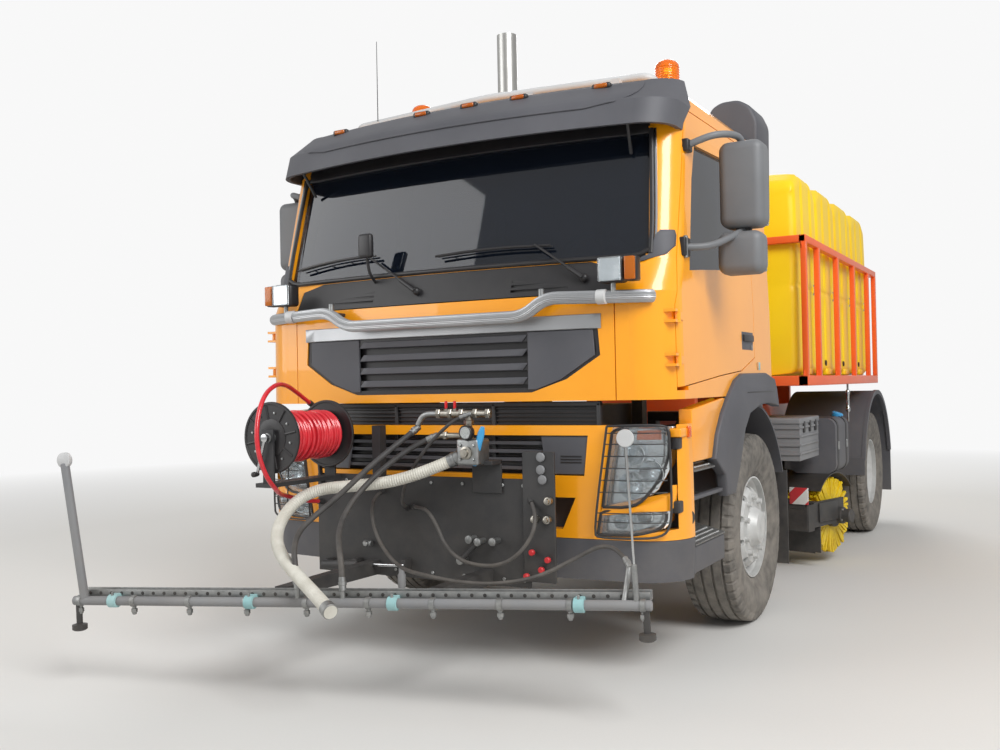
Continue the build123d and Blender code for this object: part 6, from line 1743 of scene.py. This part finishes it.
@dataclass
class Manifold:
    """Pipes, valves, gauge and levers where the water is shared out.

    Attributes:
        y: The plane of its pipes.
    """

    y: float = -1.69

    def nut(self, piece: Piece, place: tuple, axis: Axis, radius: float, length: float) -> None:
        """A six-sided nut, centred at a place."""
        start = tuple(place[i] - (length / 2 if i == axis.value else 0) for i in range(3))
        piece.lathe([(0, radius * 0.86), (length * 0.12, radius), (length * 0.88, radius),
                     (length, radius * 0.86)], start, axis, NICKEL, 6)

    def build(self) -> None:
        """Makes the manifold in place of its CAD node."""
        piece = Piece("water_manifold", slot="steel")
        y = self.y
        piece.rod((0.12, y, 1.24), (0.42, y, 1.24), 0.016, NICKEL, 24)
        piece.rod((0.3, y, 1.24), (0.3, y, 1.12), 0.016, NICKEL, 24)
        piece.tube([(0.15, y, 1.24), (0.045, y, 1.24), (0.014, y, 1.186)], 0.014, ZINC, 18)
        piece.rod((0.128, y, 1.137), (0.3, y, 1.137), 0.013, NICKEL, 18)
        for x in (0.135, 0.2, 0.262, 0.338, 0.405):
            self.nut(piece, (x, y, 1.24), Axis.X, 0.024, 0.022)
        for z in (1.2, 1.15):
            self.nut(piece, (0.3, y, z), Axis.Z, 0.024, 0.02)
        self.nut(piece, (0.17, y, 1.137), Axis.X, 0.02, 0.02)
        piece.box((0.262, y - 0.058, 1.002), (0.378, y + 0.058, 1.123), ZINC, 0.012)
        for x in (0.285, 0.355):
            for z in (1.03, 1.095):
                piece.rod((x, y - 0.056, z), (x, y - 0.068, z), 0.008, ZINC, 6)
        piece.lathe([(0, 0.03), (0.012, 0.03), (0.016, 0.02), (0.03, 0.018)], (0.32, y - 0.058, 1.06),
                    AHEAD, NICKEL, 24)
        piece.box((0.26, y, 1.0), (0.42, -1.5925, 1.02), BLACK_STEEL, 0.003)
        piece.box((0.26, -1.604, 0.86), (0.42, -1.5925, 1.02), BLACK_STEEL, 0.003)
        for x in (0.175, 0.223):
            piece.rod((x, y, 1.245), (x, y, 1.268), 0.006, ZINC, 12)
            self.nut(piece, (x, y, 1.257), Axis.Z, 0.012, 0.01)
            piece.box((x - 0.005, y - 0.008, 1.262), (x + 0.005, y + 0.008, 1.3), RED_PLASTIC)
        # The gauge: its housing, face and glass
        for out, finish, sides, profile in (
                (0.0, BLACK_PLASTIC, 40,
                 [(0, 0.03), (0.004, 0.034), (0.034, 0.034), (0.038, 0.031), (0.037, 0.028),
                  (0.032, 0.0275)]),
                (0.031, GAUGE_FACE, 32, [(0, 0.01), (0.001, 0.0275), (0.002, 0.0275), (0.0025, 0.01)]),
                (0.034, LENS, 32, [(0, 0.01), (0.001, 0.0277), (0.002, 0.0277), (0.003, 0.01)])):
            piece.lathe(profile, (0.32, y - 0.036 - out, 1.154), AHEAD, finish, sides)
        piece.rod((0.32, y - 0.036, 1.154), (0.32, y - 0.002, 1.12), 0.008, NICKEL, 12)
        piece.rod((0.31, y, 1.02), (0.35, y - 0.03, 1.02), 0.014, ZINC, 18)
        lever = np.array([(0.345, y - 0.03, 1.0), (0.352, y - 0.034, 1.04), (0.388, y - 0.038, 1.15),
                          (0.398, y - 0.04, 1.18)])
        piece.grid(tube_grid(lever, np.array([0.01, 0.016, 0.017, 0.009]), 14), BLUE_PLASTIC)
        for name in ("hose_white", "hose_green", "hose_black_3", "hose_black_4"):
            ferrule(piece, name, 0)
        piece.place("manifold")


@dataclass
class WashBar:
    """The washing bar: pipe, channel, clamps, nozzles, the side sprays and the edge markers.

    Attributes:
        centre: Middle of the pipe.
        yaw: How far the bar is turned.
        tilt: How far it leans to one side.
        length: Length of the pipe.
        radius: Its radius.
        nozzles: How many nozzles.
        pitch: Distance from one to the next.
    """

    centre: tuple = (0.0, -2.312, 0.452)
    yaw: float = 12.5
    tilt: float = -2.0
    length: float = 2.7
    radius: float = 0.021
    nozzles: int = 10
    pitch: float = 0.292

    def build(self) -> None:
        """Makes the bar in its own line, turns it into place, and adds the hoses' sockets."""
        piece = Piece("spray_bar", slot="steel")
        half = self.length / 2
        piece.rod((-half, 0, 0), (half, 0, 0), self.radius, LIGHT_PLASTIC, 24)
        low, high = -half + 0.01, half - 0.01
        piece.box((low, 0.028, 0.008), (high, 0.09, 0.014), ZINC, 0.002)
        piece.box((low, 0.028, 0.008), (high, 0.034, 0.046), ZINC, 0.002)
        piece.box((low, 0.084, 0.008), (high, 0.09, 0.046), ZINC, 0.002)
        for i in range(46):
            x = -half + 0.07 + i * 0.057
            piece.lathe([(0, 0.008), (0.001, 0.008), (0.0012, 0.002)], (x, 0.0281, 0.03), (0.0, -1.0, 0.0),
                        BLACK_PLASTIC, 10)
        for x in (-1.13, -0.42, 0.26, 1.06):
            piece.lathe([(-0.022, 0.026), (-0.02, 0.03), (0.02, 0.03), (0.022, 0.026)], (x, 0, 0), Axis.X,
                        TEAL_PLASTIC, 28)
            piece.box((x - 0.02, 0.0, -0.028), (x + 0.02, 0.06, 0.03), TEAL_PLASTIC, 0.006)
            piece.rod((x, -0.01, 0.022), (x, -0.01, 0.042), 0.006, ZINC, 6)
        for i in range(self.nozzles):
            x = self.pitch * (i - (self.nozzles - 1) / 2)
            piece.lathe([(0, 0.009), (0.022, 0.009), (0.024, 0.014), (0.040, 0.014), (0.042, 0.011),
                         (0.05, 0.009), (0.052, 0.003)], (x, 0, -0.01), DOWN, ZINC, 6)
            piece.lathe([(-0.012, 0.023), (-0.01, 0.026), (0.01, 0.026), (0.012, 0.023)], (x, 0, 0), Axis.X,
                        ZINC, 24)
        for x in (-half + 0.025, half - 0.025):
            piece.rod((x, 0, 0), (x, 0, -0.11), 0.014, BLACK_STEEL)
            piece.lathe([(0, 0.02), (0.004, 0.034), (0.026, 0.034), (0.032, 0.026), (0.034, 0.006)],
                        (x, 0, -0.106), DOWN, BLACK_PLASTIC, 28)
        piece.rod((-half + 0.06, 0, 0), (-half - 0.02, 0, 0.64), 0.02, LIGHT_PLASTIC, 24)
        piece.lathe([(-0.014, 0.03), (-0.01, 0.036), (0.01, 0.036), (0.014, 0.03), (0.015, 0.004)],
                    (-half - 0.02, 0, 0.655), Axis.Y, WHITE_PAINT, 36)
        piece.rod((half - 0.06, 0, 0), (half - 0.064, 0, 0.16), 0.012, ZINC, 12)
        piece.rod((half - 0.062, 0, 0.1), (half - 0.07, 0, 0.63), 0.005, BRIGHT, 10)
        piece.lathe([(-0.006, 0.01), (-0.006, 0.033), (-0.002, 0.035), (0.002, 0.035), (0.006, 0.033),
                     (0.0065, 0.004)], (half - 0.07, 0, 0.655), Axis.Y, WHITE_PAINT, 36)
        piece.turn(self.centre, self.yaw, self.tilt)
        for name in ("hose_black_2", "hose_black_3", "hose_black_4"):
            tip = hose(name).route[-1]
            foot = np.array([[tip[0] / math.cos(math.radians(self.yaw)), 0.0, 0.0]])
            start = tuple(turned(foot, self.centre, self.yaw, self.tilt)[0])
            piece.rod(start, tip, 0.011, ZINC, 12)
            ferrule(piece, name, -1)
        piece.place("wash_bar")


@dataclass
class Underside:
    """Finishes of the chassis, springs, axles and what hangs below, the rear lamps and the front plate.

    Attributes:
        lamp_x: Middle of a rear lamp.
    """

    lamp_x: float = 1.01

    def build(self) -> None:
        """Dresses the nodes and adds lenses on the rear lamps, and bolts on the reel's plate."""
        dress(CHASSIS_PAINT, "chassis_frame", "front_axle", "rear_axle", "leaf_springs", "knuckle_left",
              "knuckle_right", "tie_rod", "engine_block", "propeller_shaft", "rear_bar")
        dress(STACK_STEEL, "exhaust_stack")
        dress(BLACK_STEEL, "bar_support")
        piece = Piece("rear_lamp_lenses", slot="lamp")
        for low, high, finish in ((-0.145, -0.055, AMBER), (-0.05, 0.085, RED_PLASTIC), (0.09, 0.145, LENS)):
            piece.box((self.lamp_x - high, 4.878, 0.65), (self.lamp_x - low, 4.888, 0.75), finish)
        piece.mirror().place()
        piece = Piece("plate_bolts", slot="steel")
        for x in (-0.66, -0.5, -0.2, 0.02, 0.2, 0.42, 0.53):
            for z in (0.46, 0.9):
                piece.rod((x, -1.592, z), (x, -1.6, z), 0.009, ZINC, 6)
        piece.place()
        self.gear()

    def gear(self) -> None:
        """What hangs on the front plate: couplers, lamp sockets, red caps, a cylinder and a valve."""
        piece = Piece("front_plate_gear", slot="steel")
        piece.box((0.535, -1.612, 0.46), (0.70, -1.597, 1.06), BLACK_STEEL)
        for x, z in ((0.68, 0.839), (0.672, 0.753), (0.61, 0.753)):
            piece.lathe([(0, 0.014), (0.012, 0.014), (0.014, 0.018), (0.034, 0.018), (0.036, 0.013),
                         (0.05, 0.012), (0.052, 0.006)], (x, -1.61, z), AHEAD, NICKEL, 20)
        for x, z in ((0.635, 1.036), (0.634, 0.978), (0.642, 0.933)):
            piece.lathe([(0, 0.02), (0.01, 0.022), (0.014, 0.018), (0.016, 0.006)], (x, -1.61, z), AHEAD,
                        LIGHT_PLASTIC, 24)
        for x, z in ((0.59, 0.6), (0.67, 0.571), (0.637, 0.524), (0.56, 0.489)):
            piece.rod((x, -1.61, z), (x, -1.626, z), 0.007, ZINC, 10)
            piece.lathe([(0, 0.012), (0.004, 0.014), (0.018, 0.014), (0.022, 0.01)], (x, -1.624, z), AHEAD,
                        RED_PLASTIC, 18)
        piece.rod((-0.618, -1.65, 0.466), (-0.394, -1.65, 0.482), 0.022, BLACK_STEEL, 24)
        piece.rod((-0.396, -1.65, 0.482), (-0.112, -1.65, 0.495), 0.009, BRIGHT, 14)
        for x, z in ((-0.6, 0.468), (-0.42, 0.48), (-0.12, 0.495)):
            piece.box((x - 0.012, -1.65, z - 0.026), (x + 0.012, -1.59, z + 0.026), BLACK_STEEL)
        piece.rod((0.212, -1.64, 0.54), (0.311, -1.64, 0.634), 0.012, BLACK_STEEL, 14)
        for x, z in ((0.212, 0.54), (0.311, 0.634), (0.392, 0.639), (0.263, 0.643)):
            piece.lathe([(0, 0.014), (0.05, 0.014), (0.054, 0.019), (0.066, 0.019), (0.07, 0.012)],
                        (x, -1.59, z), AHEAD, ZINC, 20)
        piece.rod((-0.375, -1.62, 0.585), (-0.329, -1.62, 0.585), 0.016, ZINC, 18)
        piece.rod((-0.352, -1.59, 0.585), (-0.352, -1.645, 0.585), 0.013, ZINC, 18)
        piece.lathe([(0, 0.016), (0.02, 0.02), (0.07, 0.02), (0.08, 0.014), (0.11, 0.014)],
                    (-0.127, -1.65, 0.378), Axis.Z, LIGHT_PLASTIC, 24)
        piece.place()


def main() -> None:
    """Builds every sub-assembly in order."""
    logging.basicConfig(level=logging.INFO, format="%(message)s")
    for part in (Studio(), *HOSES, Wheels(), CabTrim(), Mirrors(), Lamps(), Steps(), Fenders(), Tanks(),
                 SideBoxes(), Brush(), Reel(), Manifold(), WashBar(), Underside()):
        log.info("building %s", type(part).__name__)
        part.build()
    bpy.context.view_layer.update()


if __name__ == "__main__":
    main()
